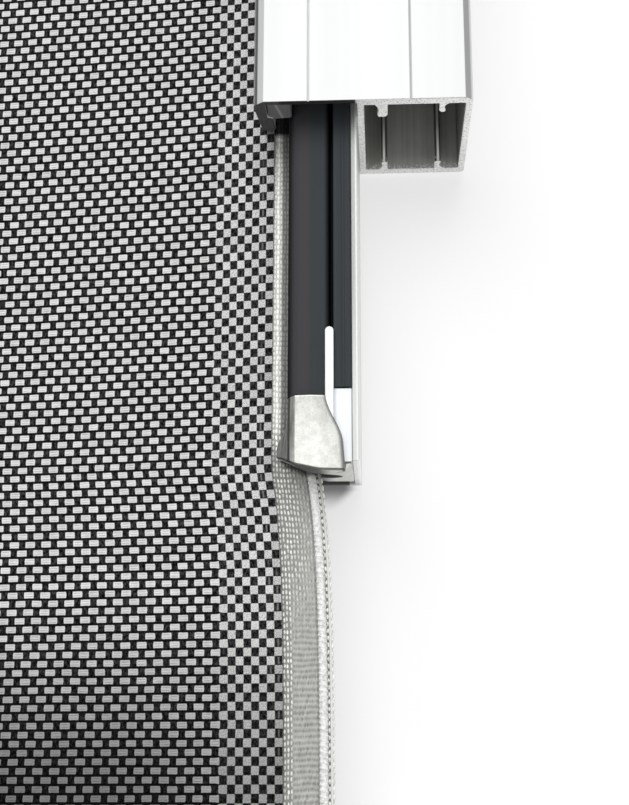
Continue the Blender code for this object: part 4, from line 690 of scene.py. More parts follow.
@finish("bare_chamber", "chamber", 0.6, specular=0.06)
def chamber_skin(made, colours):
    """Unpainted inside of the chamber: die lines, with chips and burrs beside the sawn edge."""
    lines = made.drawn(1500, 1500, 9, 2.0, 0.6)
    stain = made.drawn(190, 190, 120, 3.0, 0.6)
    out, depth, height = made.beside()
    sizes, top = bpy.context.scene.blind_extrusions, CHANNEL_TOP
    near_end = height.ramp(top - 0.0036, top - 0.0003)
    chips = made.grain(2600, 2.0, 0.7)
    burr = (chips + 0.16 * height.ramp(top - 0.0022, top - 0.0002)).ramp(0.66, 0.72) * near_end
    left, right = sizes.chamber + sizes.wall, CHANNEL_WIDTH - sizes.wall
    near, far = left + sizes.port + sizes.rib / 2, right - sizes.port * 1.15 - sizes.rib / 2
    # painted highlight along the ribs' tips, fading deeper in, and painted shade beside the ribs
    to_rib = out.away(near).lesser(out.away(far))
    ridge, beside = to_rib.ramp(0.00034, 0.00010), to_rib.ramp(0.0012, 0.0007)
    highlight_reach = 0.5 + 0.9 * height.ramp(top - 0.010, top - 0.002)
    on_rib = depth.ramp(sizes.face + 0.0026, sizes.face + 0.0032)
    # painted light: the inside grows lighter towards the open end
    skin = made.shade(colours.chamber, (0.62 + 0.60 * lines + 0.40 * stain + 0.26 * near_end)
                      * (1 + on_rib * (1.9 * ridge * highlight_reach - 0.80 * beside))
                      # painted shade on the inside face of the chamber's outer wall
                      * (1 - 0.5 * out.ramp(right - 0.0003, right - 0.0001)))
    made.paint(made.mix(burr, skin, colours.sawn))
    made.rough(0.48 + 0.2 * lines)
    made.relief(lines, 0.00006, 0.5)


@finish("carrier_aluminium", "rail", 0.5, 0.6, specular=0.1)
def rail_metal(made, colours):
    """Satin extruded aluminium with fine die lines; a painted highlight on the outer corner, painted light
    towards and on the end, and painted shade on the leg.
    """
    lines = made.drawn(2600, 2600, 6, 3.0, 0.65)
    specks = made.grain(2400, 2.0, 0.7)
    out, depth, height = made.beside()
    # painted highlight on the outer corner
    corner = out.ramp(RAIL_CORNER - SOFT, RAIL_CORNER + SOFT)
    # painted light towards the rail's end
    near_end = height.ramp(*RAIL_LIGHT)
    # painted shade on the leg under the insert, a little less towards the wall
    leg = out.ramp(0.0163, 0.0160) * depth.ramp(0.0046, 0.0040)
    # painted light on the rail's cut end, growing towards the front
    cut_end = height.ramp(CARRIER_HIGH.z - 0.0006, CARRIER_HIGH.z - 0.0005) * depth.ramp(0.002, 0.010)
    amount = (0.66 + 0.12 * lines + 0.08 * specks.ramp(0.55, 0.7) + 0.60 * corner
              + 0.30 * near_end * (1 - 0.8 * corner) + 0.30 * cut_end)
    made.paint(made.shade(colours.rail, amount * (1 - (0.86 - 0.30 * depth.ramp(0.0036, 0.0)) * leg)))
    made.metal(0.6 + 0.35 * cut_end)
    made.rough(0.42 + 0.16 * lines)
    made.relief(lines, 0.00003, 0.6)


@finish("anthracite_pvc", "insert", 0.62, specular=0.16)
def insert_plastic(made, colours):
    """Anthracite extruded plastic, warm at the inner side, with faint streaks; painted shade on the inner
    flank and in the groove.
    """
    streaks = made.drawn(1200, 1200, 5, 2.0, 0.6)
    cloud = made.drawn(160, 160, 30)
    scratch = made.drawn(5200, 5200, 46, 1.0).ramp(0.70, 0.76)
    out, _, _ = made.beside()
    # painted shade on the inner flank beside the tape
    side = 0.10 + 0.90 * out.ramp(INSERT_OUT + 0.0001, INSERT_OUT + 0.0015)
    groove_end = GROOVE_OUT + GROOVE_WIDTH
    # painted shade in the tongue groove
    groove = 1 - 0.90 * (out.ramp(GROOVE_OUT - 0.0012, GROOVE_OUT)
                         * out.ramp(groove_end + SOFT, groove_end - SOFT))
    warm = made.mix(out.ramp(0.0100, 0.0088), colours.insert, linear("424144"))
    made.paint(made.shade(warm, (0.90 + 0.12 * streaks + 0.08 * cloud + 0.18 * scratch) * side * groove))
    made.rough(0.56 + 0.12 * streaks + 0.06 * cloud)
    made.relief(streaks, 0.00003, 0.5)


@finish("satin_nickel", "nickel", 0.5, 0.35, specular=0.4)
def cast_nickel(made, colours):
    """Satin nickel over a die casting: mottles, grain and pits; painted light towards the rim, painted shade
    on the flank, wing, crease, far edge, rim and end faces, and a painted highlight along the top edge.

    The map's u runs round the section, one corner of the outline after the other, and v to the rim.
    """
    mottle = made.grain(620, 4.0, 0.7)
    grain = made.grain(3300, 3.0, 0.75)
    streak = made.drawn(1500, 900, 130, 2.0, 0.6)
    pits = made.grain(1500, 1.0).ramp(0.68, 0.76)
    around, along, _ = made.parts(made.place(source="UV"))
    corner = around * (FUNNEL_POINTS / 6)
    out, depth, _ = made.beside()
    # painted light: lighter towards the rim
    bright = (0.67 + 0.20 * along.ramp(0.0, 0.8) + 0.15 * mottle.ramp(0.38, 0.62)
              + 0.12 * grain.ramp(0.38, 0.66) - 0.14 * pits)
    # painted shade on the flank, crease, far edge, rim and wing, with streaks on the flank
    flank = corner.ramp(5.15, 4.95)
    crease = corner.ramp(3.2, 3.5) * corner.ramp(4.6, 4.2)
    far_edge = corner.ramp(6.75, 7.7) * corner.ramp(8.9, 8.7)
    rim = along.ramp(RIM_START, 0.982) * (1 - corner.ramp(9.5, 9.6))
    wing = corner.ramp(3.35, 3.1)
    front = GUIDE_FRONT + 0.0020
    # painted shade on the end faces, towards the front and the inner side
    mouth = along.ramp(1.5, 1.6)
    hollow = 0.72 * depth.ramp(front - 0.0017, front - 0.0007)
    mouth = mouth * hollow.greater(0.84 * out.ramp(0.0138, 0.0108))
    # all the painted shade of the casting together
    dark = ((1 - (0.58 + 1.3 * (streak - 0.5)) * flank) * (1 - 0.34 * wing) * (1 - 0.72 * crease)
            * (1 - 0.74 * far_edge) * (1 - 0.72 * rim) * (1 - mouth))
    # painted highlight along the top edge
    top_highlight = along.ramp(0.020, 0.012) * corner.ramp(4.9, 5.1)
    made.paint(made.shade(colours.nickel, (bright.lesser(1.12) + 0.34 * top_highlight) * dark))
    made.rough(0.42 + 0.16 * grain + 0.08 * mottle)
    made.relief(mottle * 1.4 + grain * 0.55 - pits * 0.5, 0.00016, 0.45)


@finish("polished_nickel", "polish", 0.4, 0.15, specular=0.35)
def polished_face(made, colours):
    """Ground and polished faces of the casting, with fine grinding lines."""
    lines = made.drawn(2300, 2300, 14, 2.0, 0.6)
    made.paint(made.shade(colours.polish, 0.97 + 0.05 * lines.ramp(0.35, 0.6)))
    made.rough(0.36 + 0.12 * lines)
    made.relief(lines, 0.00002, 0.4)


@finish("funnel_inside", "nickel", 0.7, specular=0.05, share=INSIDE_SHADE)
def shaded_mouth(made, colours):
    """The inside of the funnel, darkened with painted shade."""
    # painted shade on the funnel's inside
    dark, grain = tone(colours.nickel, INSIDE_SHADE), made.grain(1700)
    made.paint(made.shade(dark, 0.6 + 0.8 * grain))
    made.relief(grain, 0.00005, 0.5)


@finish("woven_screen", "weft", 0.6, specular=0.04, share=0.5)
def woven_screen(made, colours):
    """Coated plain weave: light weft floats and charcoal warp floats, pressed flat along the edges."""
    sizes = bpy.context.scene.blind_cloth
    across, along, _ = made.parts(made.place(source="UV"))
    width, tall = FABRIC_HIGH.x - FABRIC_LOW.x, FABRIC_HIGH.z - FABRIC_LOW.z
    open_half = width / 2 - sizes.weld
    open_pitch = open_half / round(open_half / sizes.warp_field)
    metres, height = across * width, along * tall
    to_edge = metres.lesser(width - metres)
    wander = made.woven(metres * 60, height * 260, 1.0) - 0.5
    ripple = made.woven(metres * 150, height * 70, 1.0) - 0.5
    column = (to_edge.lesser(sizes.weld) * (1 / sizes.warp)
              + (to_edge - sizes.weld).greater(0.0) * (1 / open_pitch))
    column = column + wander * 0.16
    row = height * (1 / sizes.weft) + ripple * 0.12
    row_number = row.floor()
    shifted = column + row_number
    from_light = (shifted - 0.5).zigzag(1.0)
    in_row = row.fraction().away(0.5)
    pressed = to_edge.ramp(sizes.weld + 0.0013, sizes.weld - 0.0003)
    fray = made.woven(metres * 3400, height * 3400, 2.0, 0.6) - 0.5
    ends = in_row * in_row * (0.30 * (1 - pressed))
    wide = 0.600 - 0.098 * pressed + fray * 0.12 - ends
    high = 0.350 + 0.138 * pressed + fray * 0.07
    light = (wide - from_light).ramp(-0.045, 0.045) * (high - in_row).ramp(-0.045, 0.045)
    yarn = (0.420 + 0.080 * pressed + fray * 0.05 - in_row).ramp(-0.05, 0.06)
    cell = made.chance((shifted * 0.5).floor(), row_number)
    dark_cell = made.chance((shifted * 0.5 + 0.5).floor() + 31.0, row_number)
    fibres = made.woven(metres * 700 + row_number * 7.3, height * 5200, 2.0, 0.7)
    strands = made.woven(metres * 2600, height * 1300, 2.0, 0.7)
    twill = made.woven((metres + height) * 4200, (metres - height) * 2600, 2.0, 0.6)
    lines = in_row.away(0.15).ramp(0.01, 0.10).greater(0.9 * from_light.ramp(0.34, 0.48))
    fine = (0.62 * lines + 0.42 * fibres.ramp(0.30, 0.62)) * (1 - pressed) + twill.ramp(0.32, 0.62) * pressed
    under = FABRIC_LOW.z + height
    roll_shade = (0.46 + 0.24 * to_edge.ramp(0.006, 0.030)) * under.ramp(*ROLL_SHADE)
    shade = (1 - roll_shade) * (1 - 0.85 * (to_edge.ramp(0.0019, 0.0017)
                                            * under.ramp(CHANNEL_TOP + 0.0014, CHANNEL_TOP - 0.001)))
    last = to_edge.ramp(0.0016, 0.0013)
    light_tone = made.shade(colours.weft, (0.49 + 0.60 * fine + 0.16 * cell
                                           + 0.02 * pressed - 0.15 * last) * shade)
    stray = made.chance(row_number, 7.0) * 0.6 + 0.4 * under.ramp(*INNER_SLITS)
    narrow, seldom = (0.00024, 0.00006), (0.50, 0.62)
    slit = (to_edge.away(0.0021).ramp(*narrow) * stray.ramp(*seldom)).greater(
        to_edge.away(0.0007).ramp(*narrow) * (1.0 - stray).ramp(*seldom) * under.ramp(*OUTER_SLITS))
    dark_tone = made.shade(colours.warp, (0.02 + 2.9 * strands.ramp(0.40, 0.66) + 0.45 * dark_cell
                                          + 9.0 * slit * in_row.ramp(0.42, 0.34)) * shade)
    cut = made.mix(yarn, colours.gap, dark_tone)
    made.paint(made.mix(light, cut, light_tone))
    made.rough(0.66 - 0.12 * light)
    crown = (1 - from_light * from_light * 1.2) * light
    warp_crown = (1 - light) * yarn * (0.72 - 0.6 * (1 - from_light).power(2.0))
    made.relief((crown + warp_crown) * (1 - 0.45 * pressed) + 0.16 * fine * light
                + 0.14 * strands * (1 - light), 0.00020, 0.55)


@finish("zip_tape", "tape", 0.75, specular=0.2)
def zip_tape(made, colours):
    """Woven tape: rows of knots that fade to fine ribs, and a stitched outer edge past the coil; painted
    shade beside the coil and inside the channel, and painted light beside the insert.
    """
    sizes = bpy.context.scene.blind_cloth
    across, along, _ = made.parts(made.place(source="UV"))
    metres, height = across * TAPE_WIDTH, along * (TAPE_HIGH.z - TAPE_LOW.z)
    place = metres + TAPE_INNER
    z = height + TAPE_LOW.z
    wave = made.woven(metres * 170, height * 120, 1.0) - 0.5
    column = (place - FABRIC_OUT) * (1 / sizes.knot_column) + wave * 0.5
    row = height * (1 / sizes.knot_row) + wave * 1.1
    own = made.chance(column.floor(), row.floor())
    stray = made.chance(row.floor(), column.floor() + 40.0)
    knot_x, knot_y = column.fraction().away(0.36 + 0.28 * own), row.fraction().away(0.38 + 0.24 * stray)
    knot = (knot_x * knot_x + knot_y * knot_y * 0.8).ramp(0.16, 0.03) * (0.50 + 0.50 * stray)
    rib = (row + 0.5).zigzag(0.5) * 2.0
    streak = made.woven(metres * 2500 + row.floor() * 0.7, height * 420, 2.0, 0.7)
    fuzz = made.woven(metres * 2600, height * 2600, 2.0, 0.7)
    first = place.ramp(FABRIC_OUT + 0.0020, FABRIC_OUT + 0.0014)
    knotted = first.greater(z.ramp(*KNOTS_FADE) * (1 - 0.6 * place.ramp(0.0042, 0.0075)))
    ribbed = 0.66 + 0.28 * rib.ramp(0.1, 0.9) + 1.05 * (streak - 0.5) + 0.3 * (fuzz - 0.5)
    dotted = 0.48 + 0.12 * rib + 1.55 * knot + 0.3 * (fuzz - 0.5)
    body = dotted * knotted + ribbed * (1 - knotted)
    selvedge = place.ramp(COIL_START - SOFT, COIL_START + SOFT)
    seam = place.away(SEAM_OUT).ramp(0.00030, 0.00014)
    loops = place.away(EDGE_OUT - 0.00005).ramp(0.00026, 0.00010)
    outer = 1.48 + 0.30 * (fuzz - 0.5) - 1.05 * seam - 0.36 * loops
    # painted shade in a strip beside the coil
    painted_line = 1 - 0.28 * (place.ramp(COIL_START - 0.0006, COIL_START - 0.0001) * (1 - selvedge))
    # painted shade inside the channel
    channel_shade = 1 - 0.97 * z.ramp(CHANNEL_TOP - 0.0002, CHANNEL_TOP - 0.0018)
    reach = (0.0162 - place) * (1 / 0.013)
    below = z - (FUNNEL_TOP - 0.0037 * reach.power(2.4))
    shadowed = 1 - (0.80 - 0.50 * selvedge) * below.ramp(0.0008, -0.0007) * place.ramp(0.0028, 0.0040)
    # painted light on the tape beside the insert
    painted_lift = 1 + 1.9 * z.ramp(FUNNEL_TOP - 0.004, FUNNEL_TOP - 0.014)
    amount = (body * (1 - selvedge) + outer * selvedge) * painted_line * painted_lift
    made.paint(made.shade(colours.tape, amount.lesser(2.80) * channel_shade * shadowed))
    made.relief(knot * knotted + (rib * 0.6 + streak * 0.6) * (1 - knotted), 0.00016, 0.55)


@finish("zip_coil", "coil", 0.65, specular=0.15)
def zip_thread(made, colours):
    """Polyester filament of the coil, its cord and its stitching; painted light just past the funnel's rim
    and painted shade below it.
    """
    lustre = made.drawn(2600, 2600, 1400, 2.0, 0.6)
    fuzz = made.grain(2400, 3.0, 0.7)
    soft = made.grain(1500, 3.0, 0.7).ramp(0.36, 0.60)
    height = made.beside()[2]
    # painted light just past the funnel's rim, and painted shade below the rim
    amount = (0.68 + 0.10 * lustre + 0.30 * soft + 0.16 * fuzz.ramp(0.35, 0.6)
              + 0.22 * height.ramp(FUNNEL_TOP + 0.012, FUNNEL_TOP + 0.002))
    made.paint(made.shade(colours.coil, amount * (1 - 0.8 * height.ramp(FUNNEL_TOP - 0.0004,
                                                                        FUNNEL_TOP - 0.0014))))
    made.rough(0.55 + 0.2 * lustre)
    made.relief(lustre + fuzz, 0.00005, 0.5)


@finish("grey_seal", "seal", 0.6, specular=0.3)
def soft_seal(made, colours):
    """Pale soft strip with faint streaks and dust, and two lines of painted highlight."""
    streaks = made.drawn(1400, 1400, 8)
    dust = made.grain(1900, 2.0, 0.7).ramp(0.58, 0.75)
    out, depth, _ = made.beside()
    # painted highlight: a slanted streak and a line along the lower edge
    painted_line = ((out + 0.19 * (depth - 0.0205)).away(0.0054).ramp(0.0004, 0.0001)
            + 0.5 * depth.away(0.0183).ramp(0.0003, 0.0001))
    made.paint(made.shade(colours.seal, 1.34 + 0.60 * (streaks - 0.5) + 0.2 * dust + 1.3 * painted_line))
    made.rough(0.52 + 0.2 * streaks)
    made.relief(streaks + dust * 0.4, 0.00004, 0.5)


def moulded(name, base):
    """Moulded plastic with a fine spark-eroded texture."""
    @finish(name, base, 0.45)
    def maker(made, colours):
        texture = made.grain(2200, 2.0, 0.6)
        flow = made.drawn(60, 60, 25)
        made.paint(made.shade(getattr(colours, base), 0.90 + 0.08 * texture + 0.08 * flow))
        made.rough(0.40 + 0.16 * texture)
        made.relief(texture, 0.00005, 0.5)
    return maker


@finish("zinc_steel", "steel", 0.34, 1.0)
def zinc_steel(made, colours):
    """Zinc-plated steel with soft spangles and turning marks."""
    spangle = made.grain(700, 3.0, 0.7)
    lines = made.drawn(2200, 260, 2200)
    made.paint(made.shade(colours.steel, 0.78 + 0.2 * spangle + 0.12 * lines))
    made.rough(0.26 + 0.22 * spangle)
    made.relief(spangle + lines * 0.5, 0.00004, 0.5)


@finish("gear_brass", "brass", 0.32, 1.0)
def gear_brass(made, colours):
    """Turned brass, a little tarnished."""
    tarnish = made.grain(500, 3.0, 0.6)
    marks = made.drawn(3000, 500, 500)
    made.paint(made.shade(colours.brass, 0.74 + 0.3 * tarnish + 0.1 * marks))
    made.rough(0.24 + 0.26 * tarnish)
    made.relief(marks, 0.00003, 0.5)


WHITE = moulded("white_plastic", "white_plastic")
GREY = moulded("grey_plastic", "grey_plastic")
RUBBER = moulded("black_rubber", "rubber")


# Geometry Nodes

def node_group(name, sizes):
    """Empty tree with named inputs for the sizes and the material; gives the tree, its inputs and its end."""
    tree = bpy.data.node_groups.new(name, "GeometryNodeTree")
    for label, value in sizes.items():
        kind = "NodeSocketInt" if isinstance(value, int) else "NodeSocketFloat"
        tree.interface.new_socket(name=label, in_out="INPUT", socket_type=kind).default_value = value
    tree.interface.new_socket(name="Finish", in_out="INPUT", socket_type="NodeSocketMaterial")
    tree.interface.new_socket(name="Geometry", in_out="OUTPUT", socket_type="NodeSocketGeometry")
    return tree, added(tree, "NodeGroupInput").outputs, added(tree, "NodeGroupOutput").inputs[0]


def closing(tree, sizes, end, geometry):
    """The tree's last steps: real geometry with its finish."""
    real = added(tree, "GeometryNodeRealizeInstances", {"Geometry": geometry})
    fed(tree, added(tree, "GeometryNodeSetMaterial", {"Geometry": real, "Material": sizes["Finish"]}), end)
    return tree


def grown(tree, **values):
    """Plain mesh that a tree makes with these inputs."""
    holder = bpy.data.objects.new("holder", bpy.data.meshes.new("holder"))
    bpy.context.scene.collection.objects.link(holder)
    modifier = holder.modifiers.new("nodes", "NODES")
    modifier.node_group = tree
    for item in tree.interface.items_tree:
        if item.item_type == "SOCKET" and item.in_out == "INPUT" and item.name.replace(" ", "_") in values:
            modifier[item.identifier] = values[item.name.replace(" ", "_")]
    mesh = evaluated(holder)
    holder.modifiers.remove(modifier)
    bpy.data.objects.remove(holder)
    return mesh


def coil_tree():
    """Zip coil: an oval spiral of monofilament that climbs along z."""
    tree, sizes, end = node_group("zip_coil_spiral", {
        "Across": 0.0010, "Depth": 0.0008, "Pitch": 0.00105, "Height": 0.6, "Wire": 0.0004,
        "Points per turn": 14, "Wire sides": 6})
    turns = added(tree, "ShaderNodeMath", {0: sizes["Height"], 1: sizes["Pitch"]}, operation="DIVIDE")
    spiral = added(tree, "GeometryNodeCurveSpiral", {
        "Resolution": sizes["Points per turn"], "Rotations": turns, "Height": sizes["Height"],
        "Start Radius": 1.0, "End Radius": 1.0})
    scale = added(tree, "ShaderNodeCombineXYZ", {0: sizes["Across"], 1: sizes["Depth"], 2: 1.0})
    oval = added(tree, "GeometryNodeTransform", {"Geometry": spiral, "Scale": scale})
    wire = added(tree, "GeometryNodeCurvePrimitiveCircle", {
        "Resolution": sizes["Wire sides"], "Radius": sizes["Wire"]})
    mesh = added(tree, "GeometryNodeCurveToMesh", {
        "Curve": oval, "Profile Curve": wire.outputs["Curve"], "Fill Caps": True})
    return closing(tree, sizes, end, mesh)


def stitch_tree():
    """Row of small thread stitches along z."""
    tree, sizes, end = node_group("zip_stitches", {
        "Pitch": 0.00105, "Height": 0.6, "Thread": 0.0002, "Stitch length": 0.0007,
        "Spread": 0.08, "Seed": 7})
    count = added(tree, "ShaderNodeMath", {0: sizes["Height"], 1: sizes["Pitch"]}, operation="DIVIDE")
    step = added(tree, "ShaderNodeCombineXYZ", {2: sizes["Pitch"]})
    line = added(tree, "GeometryNodeMeshLine", {"Count": count, "Offset": step})
    bead = added(tree, "GeometryNodeMeshUVSphere", {"Segments": 7, "Rings": 5, "Radius": 1.0})
    half = added(tree, "ShaderNodeMath", {0: sizes["Stitch length"], 1: 0.5}, operation="MULTIPLY")
    shape = added(tree, "ShaderNodeCombineXYZ", {0: sizes["Thread"], 1: sizes["Thread"], 2: half})
    drawn = added(tree, "GeometryNodeTransform", {"Geometry": bead, "Scale": shape})
    low = added(tree, "ShaderNodeMath", {0: 1.0, 1: sizes["Spread"]}, operation="SUBTRACT")
    high = added(tree, "ShaderNodeMath", {0: 1.0, 1: sizes["Spread"]}, operation="ADD")
    size = added(tree, "FunctionNodeRandomValue", {2: low, 3: high, "Seed": sizes["Seed"]}, data_type="FLOAT")
    spread = added(tree, "GeometryNodeInstanceOnPoints", {
        "Points": line, "Instance": drawn, "Scale": size.outputs[1]})
    return closing(tree, sizes, end, spread)


# The fabric's free length

def drift(z):
    """How far the free edge and its zip lie outwards: soon after the funnel, and back at the roller."""
    start, end = FUNNEL_TOP - 0.0022, ROLLER_HEIGHT - 0.004
    if not start < z < end:
        return 0.0
    settled = 1 - math.exp((start - z) / 0.015)
    return bpy.context.scene.blind_cloth.drift * settled * smooth((end - z) / (end - 0.392))


def edge_shift(out, z):
    """Outward shift of a point of the fabric, tape or zip; it fades towards the middle."""
    return drift(z) * (smooth(1 - (FABRIC_OUT - out) / 0.09) if out < FABRIC_OUT else 1.0)


def row_stretch(z):
    """How far the rows sit from even spacing: opened below the channel's end, closed up above it."""
    return 0.0042 * smooth((z - 0.28) / 0.14) - 0.0058 * smooth((z - 0.19) / 0.105)


# Stage and pieces

class BLIND_OT_stage(bpy.types.Operator):
    """Camera, soft studio light, pale backdrop and floor"""
    bl_idname = "blind.stage"
    bl_label = "Stage"

    def execute(self, context):
        scene = context.scene
        scene.view_settings.view_transform = "Standard"
        self.camera(scene)
        self.light(scene, scene.blind_studio)
        self.backdrop(scene, scene.blind_studio)
        return {"FINISHED"}

    def camera(self, scene):
        """The photograph's camera; its focal length is given in the picture's pixels."""
        camera = bpy.data.objects.new("camera", bpy.data.cameras.new("camera"))
        scene.collection.objects.link(camera)
        scene.camera = camera
        height_px, focal_px, film = 805, 1300, 36
        camera.data.sensor_fit = "VERTICAL"
        camera.data.sensor_height = camera.data.sensor_width = film
        camera.data.lens = film * focal_px / height_px
        camera.data.clip_start = 0.01
        right = (-0.99857847, 0.05329165, -0.00102233)
        up = (-0.01189428, -0.24148942, -0.97033055)
        back = (-0.0519574, -0.96893904, 0.24178)
        pose = Matrix((right, up, back)).transposed().to_4x4()
        pose.translation = (0.0068, -0.25534, 0.37337)
        camera.matrix_world = pose

    def light(self, scene, studio):
        """A broad soft key from the photograph's upper left and an even surrounding light."""
        key = bpy.data.objects.new("key", bpy.data.lights.new("key", "SUN"))
        key.data.energy = studio.key
        key.data.angle = studio.softness
        towards_key = Vector((0.14, -0.88, -0.48))
        key.matrix_world = towards_key.to_track_quat("Z", "Y").to_matrix().to_4x4()
        scene.collection.objects.link(key)
        world = scene.world or bpy.data.worlds.new("studio")
        scene.world = world
        world.use_nodes = True
        tree = world.node_tree
        tree.nodes.clear()
        path = added(tree, "ShaderNodeLightPath")
        seen = added(tree, "ShaderNodeBackground", {"Strength": 1.0, "Color": WHITE_LIGHT})
        place = added(tree, "ShaderNodeTexCoord")
        axis = added(tree, "ShaderNodeSeparateXYZ", {0: place.outputs["Generated"]})
        from_below, from_above = 1.22, 0.78
        spread = added(tree, "ShaderNodeMapRange", {
            "Value": axis.outputs["Z"], "From Min": -1.0, "From Max": 1.0,
            "To Min": studio.fill * from_below, "To Max": studio.fill * from_above})
        around = added(tree, "ShaderNodeBackground", {"Color": WHITE_LIGHT, "Strength": spread})
        mix = added(tree, "ShaderNodeMixShader", {
            "Fac": path.outputs["Is Camera Ray"], 1: around, 2: seen})
        added(tree, "ShaderNodeOutputWorld", {"Surface": mix})

    def paper(self, name, base, glow):
        """Paper that shows its front to the camera and in reflections, and lets all other light through."""
        material = bpy.data.materials.new(name)
        material.use_nodes = True
        tree = material.node_tree
        tree.nodes.clear()
        path = added(tree, "ShaderNodeLightPath").outputs
        seen = path["Is Camera Ray"]
        for other in ("Is Glossy Ray", "Is Transmission Ray"):
            seen = added(tree, "ShaderNodeMath", {0: seen, 1: path[other]}, operation="MAXIMUM")
        shape = added(tree, "ShaderNodeNewGeometry")
        front = added(tree, "ShaderNodeMath", {0: 1.0, 1: shape.outputs["Backfacing"]}, operation="SUBTRACT")
        both = added(tree, "ShaderNodeMath", {0: seen, 1: front}, operation="MULTIPLY")
        matt = added(tree, "ShaderNodeBsdfDiffuse", {"Color": (*base, 1.0)})
        bright = added(tree, "ShaderNodeEmission", {"Strength": glow})
        if name == "paper_wall":
            tint = self.rail_shade(tree)
            for shader, full in ((matt, base), (bright, WHITE_LIGHT[:3])):
                shaded = added(tree, "ShaderNodeVectorMath", {0: full, "Scale": tint}, operation="SCALE")
                fed(tree, shaded, shader.inputs["Color"])
        total = added(tree, "ShaderNodeAddShader", {0: matt, 1: bright})
        clear = added(tree, "ShaderNodeBsdfTransparent")
        mix = added(tree, "ShaderNodeMixShader", {"Fac": both, 1: clear, 2: total})
        added(tree, "ShaderNodeOutputMaterial", {"Surface": mix})
        return material

    def rail_shade(self, tree):
        """The soft shade that lies on the wall just past the ends of the rails."""
        place = added(tree, "ShaderNodeTexCoord")
        axis = added(tree, "ShaderNodeSeparateXYZ", {0: place.outputs["Object"]})
        out = Amount(tree, axis.outputs["X"]).away(CENTRE) - INNER_EDGE
        past = Amount(tree, axis.outputs["Z"]) - CARRIER_HIGH.z
        along = out.ramp(0.0070, 0.0100) * (out + past.greater(0.0) * 0.9).ramp(0.0180, 0.0148)
        return 1 - 0.80 * along * past.ramp(0.0058, -0.0006).power(1.5) * past.ramp(-0.004, -0.002)

    def backdrop(self, scene, studio):
        """Wall and floor of pale paper, just clear of the blind."""
        wide, clear = 4.0, 0.0008
        under = CAD_BOX[0].z - clear
        wall = [(wide, clear, under), (-wide, clear, under), (-wide, clear, wide), (wide, clear, wide)]
        floor = [(-wide, -wide, under), (wide, -wide, under), (wide, wide, under), (-wide, wide, under)]
        for name, corners, facing, matt, glow in (("wall", wall, Vector((0, -1, 0)), 0.39, 0.64),
                                                  ("floor", floor, Vector((0, 0, 1)), 0.60, 0.36)):
            corners = [Vector((CENTRE + x, y, z)) for x, y, z in corners]
            mesh = bpy.data.meshes.new(name)
            normal = (corners[1] - corners[0]).cross(corners[2] - corners[1])
            order = (0, 1, 2, 3) if normal.dot(facing) > 0 else (3, 2, 1, 0)
            mesh.from_pydata(corners, [], [order])
            mesh.materials.append(self.paper("paper_" + name, tone(studio.paper, matt), glow))
            sheet = bpy.data.objects.new(name, mesh)
            scene.collection.objects.link(sheet)


def beside_box(name):
    """A box of the frame as it is drawn beside the left channel: inner side, outer side, back and front."""
    low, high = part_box(name)
    return CENTRE - high.x - INNER_EDGE, CENTRE - low.x - INNER_EDGE, -high.y, -low.y


def channel_loops(sizes):
    """Section of the side channel, with its closed chamber as a hole."""
    width, depth = CHANNEL_WIDTH, CHANNEL_HIGH.y - CHANNEL_LOW.y
    wall, chamber, lip, back_lip = sizes.wall, sizes.chamber, depth - sizes.front_lip, sizes.back_lip
    bead = -0.0008                              # the front lip's bead reaches over the fabric

    def line(place):
        half = sizes.line / 2
        return [(place + half, depth, 0), (place, depth - sizes.line * 0.7, 0), (place - half, depth, 0)]

    outline = [(0, 0, sizes.corner), (width, 0, sizes.corner), (width, depth - 0.0013, 0.0005),
               (width - sizes.outer_chamfer, depth, 0.0003)]
    outline += line(sizes.line_outer) + line(sizes.line_inner)
    outline += [(sizes.inner_chamfer, depth, 0.0002), (0, depth - 0.0009, 0.0002),
                (-0.0002, depth - 0.0011, 0), (bead, depth - 0.0015, 0.0004), (bead, depth - 0.0034, 0.0010),
                (0, lip, 0.0005), (0.0026, lip, 0.0004), (0.0024, lip + 0.0050, 0.0004),
                (wall, lip + 0.0055, 0.0003), (wall, depth - wall, wall * 0.3),
                (chamber, depth - wall, 0.0002), (chamber, wall, 0.0002), (wall, wall, wall * 0.3),
                (wall, back_lip, wall * 0.4), (0, back_lip, wall * 0.4)]
    left, right = chamber + wall, width - wall
    low, high = sizes.face, depth - sizes.face
    near = left + sizes.port + sizes.rib
    far = right - sizes.port * 1.15 - sizes.rib

    def rib(height, thickness, plain, direction, base):
        """One rib: each corner lies off one of its sides, at a share of its height."""
        port = plain - direction * thickness
        waist = port + direction * 0.0004
        rise = height if base == low else -height
        return [(start + direction * off, base + share * rise, radius) for start, off, share, radius in (
            (port, -0.0004, 0, 0.0003), (waist, -0.0002, 0.25, 0.0006), (waist, 0, 0.5, 0.0006),
            (waist, -0.0003, 0.8, 0.0004), (waist, -0.0001, 1, 0.00018), (plain, -0.0004, 1, 0.00018),
            (plain, 0, 0.85, 0.0004), (plain, 0, 0, 0.0002))]

    hollow = [(left, low, 0.0003), *rib(sizes.rib_height, sizes.rib, near, 1, low),
              *rib(sizes.rib_height, sizes.rib, far, -1, low)[::-1], (right, low, 0.0003),
              (right, high, 0.0003), *rib(sizes.rib_height, sizes.rib, far, -1, high),
              *rib(sizes.hook_height, sizes.hook, near, 1, high)[::-1], (left, high, 0.0003)]
    return fillet(outline, 5), fillet(hollow, 2)


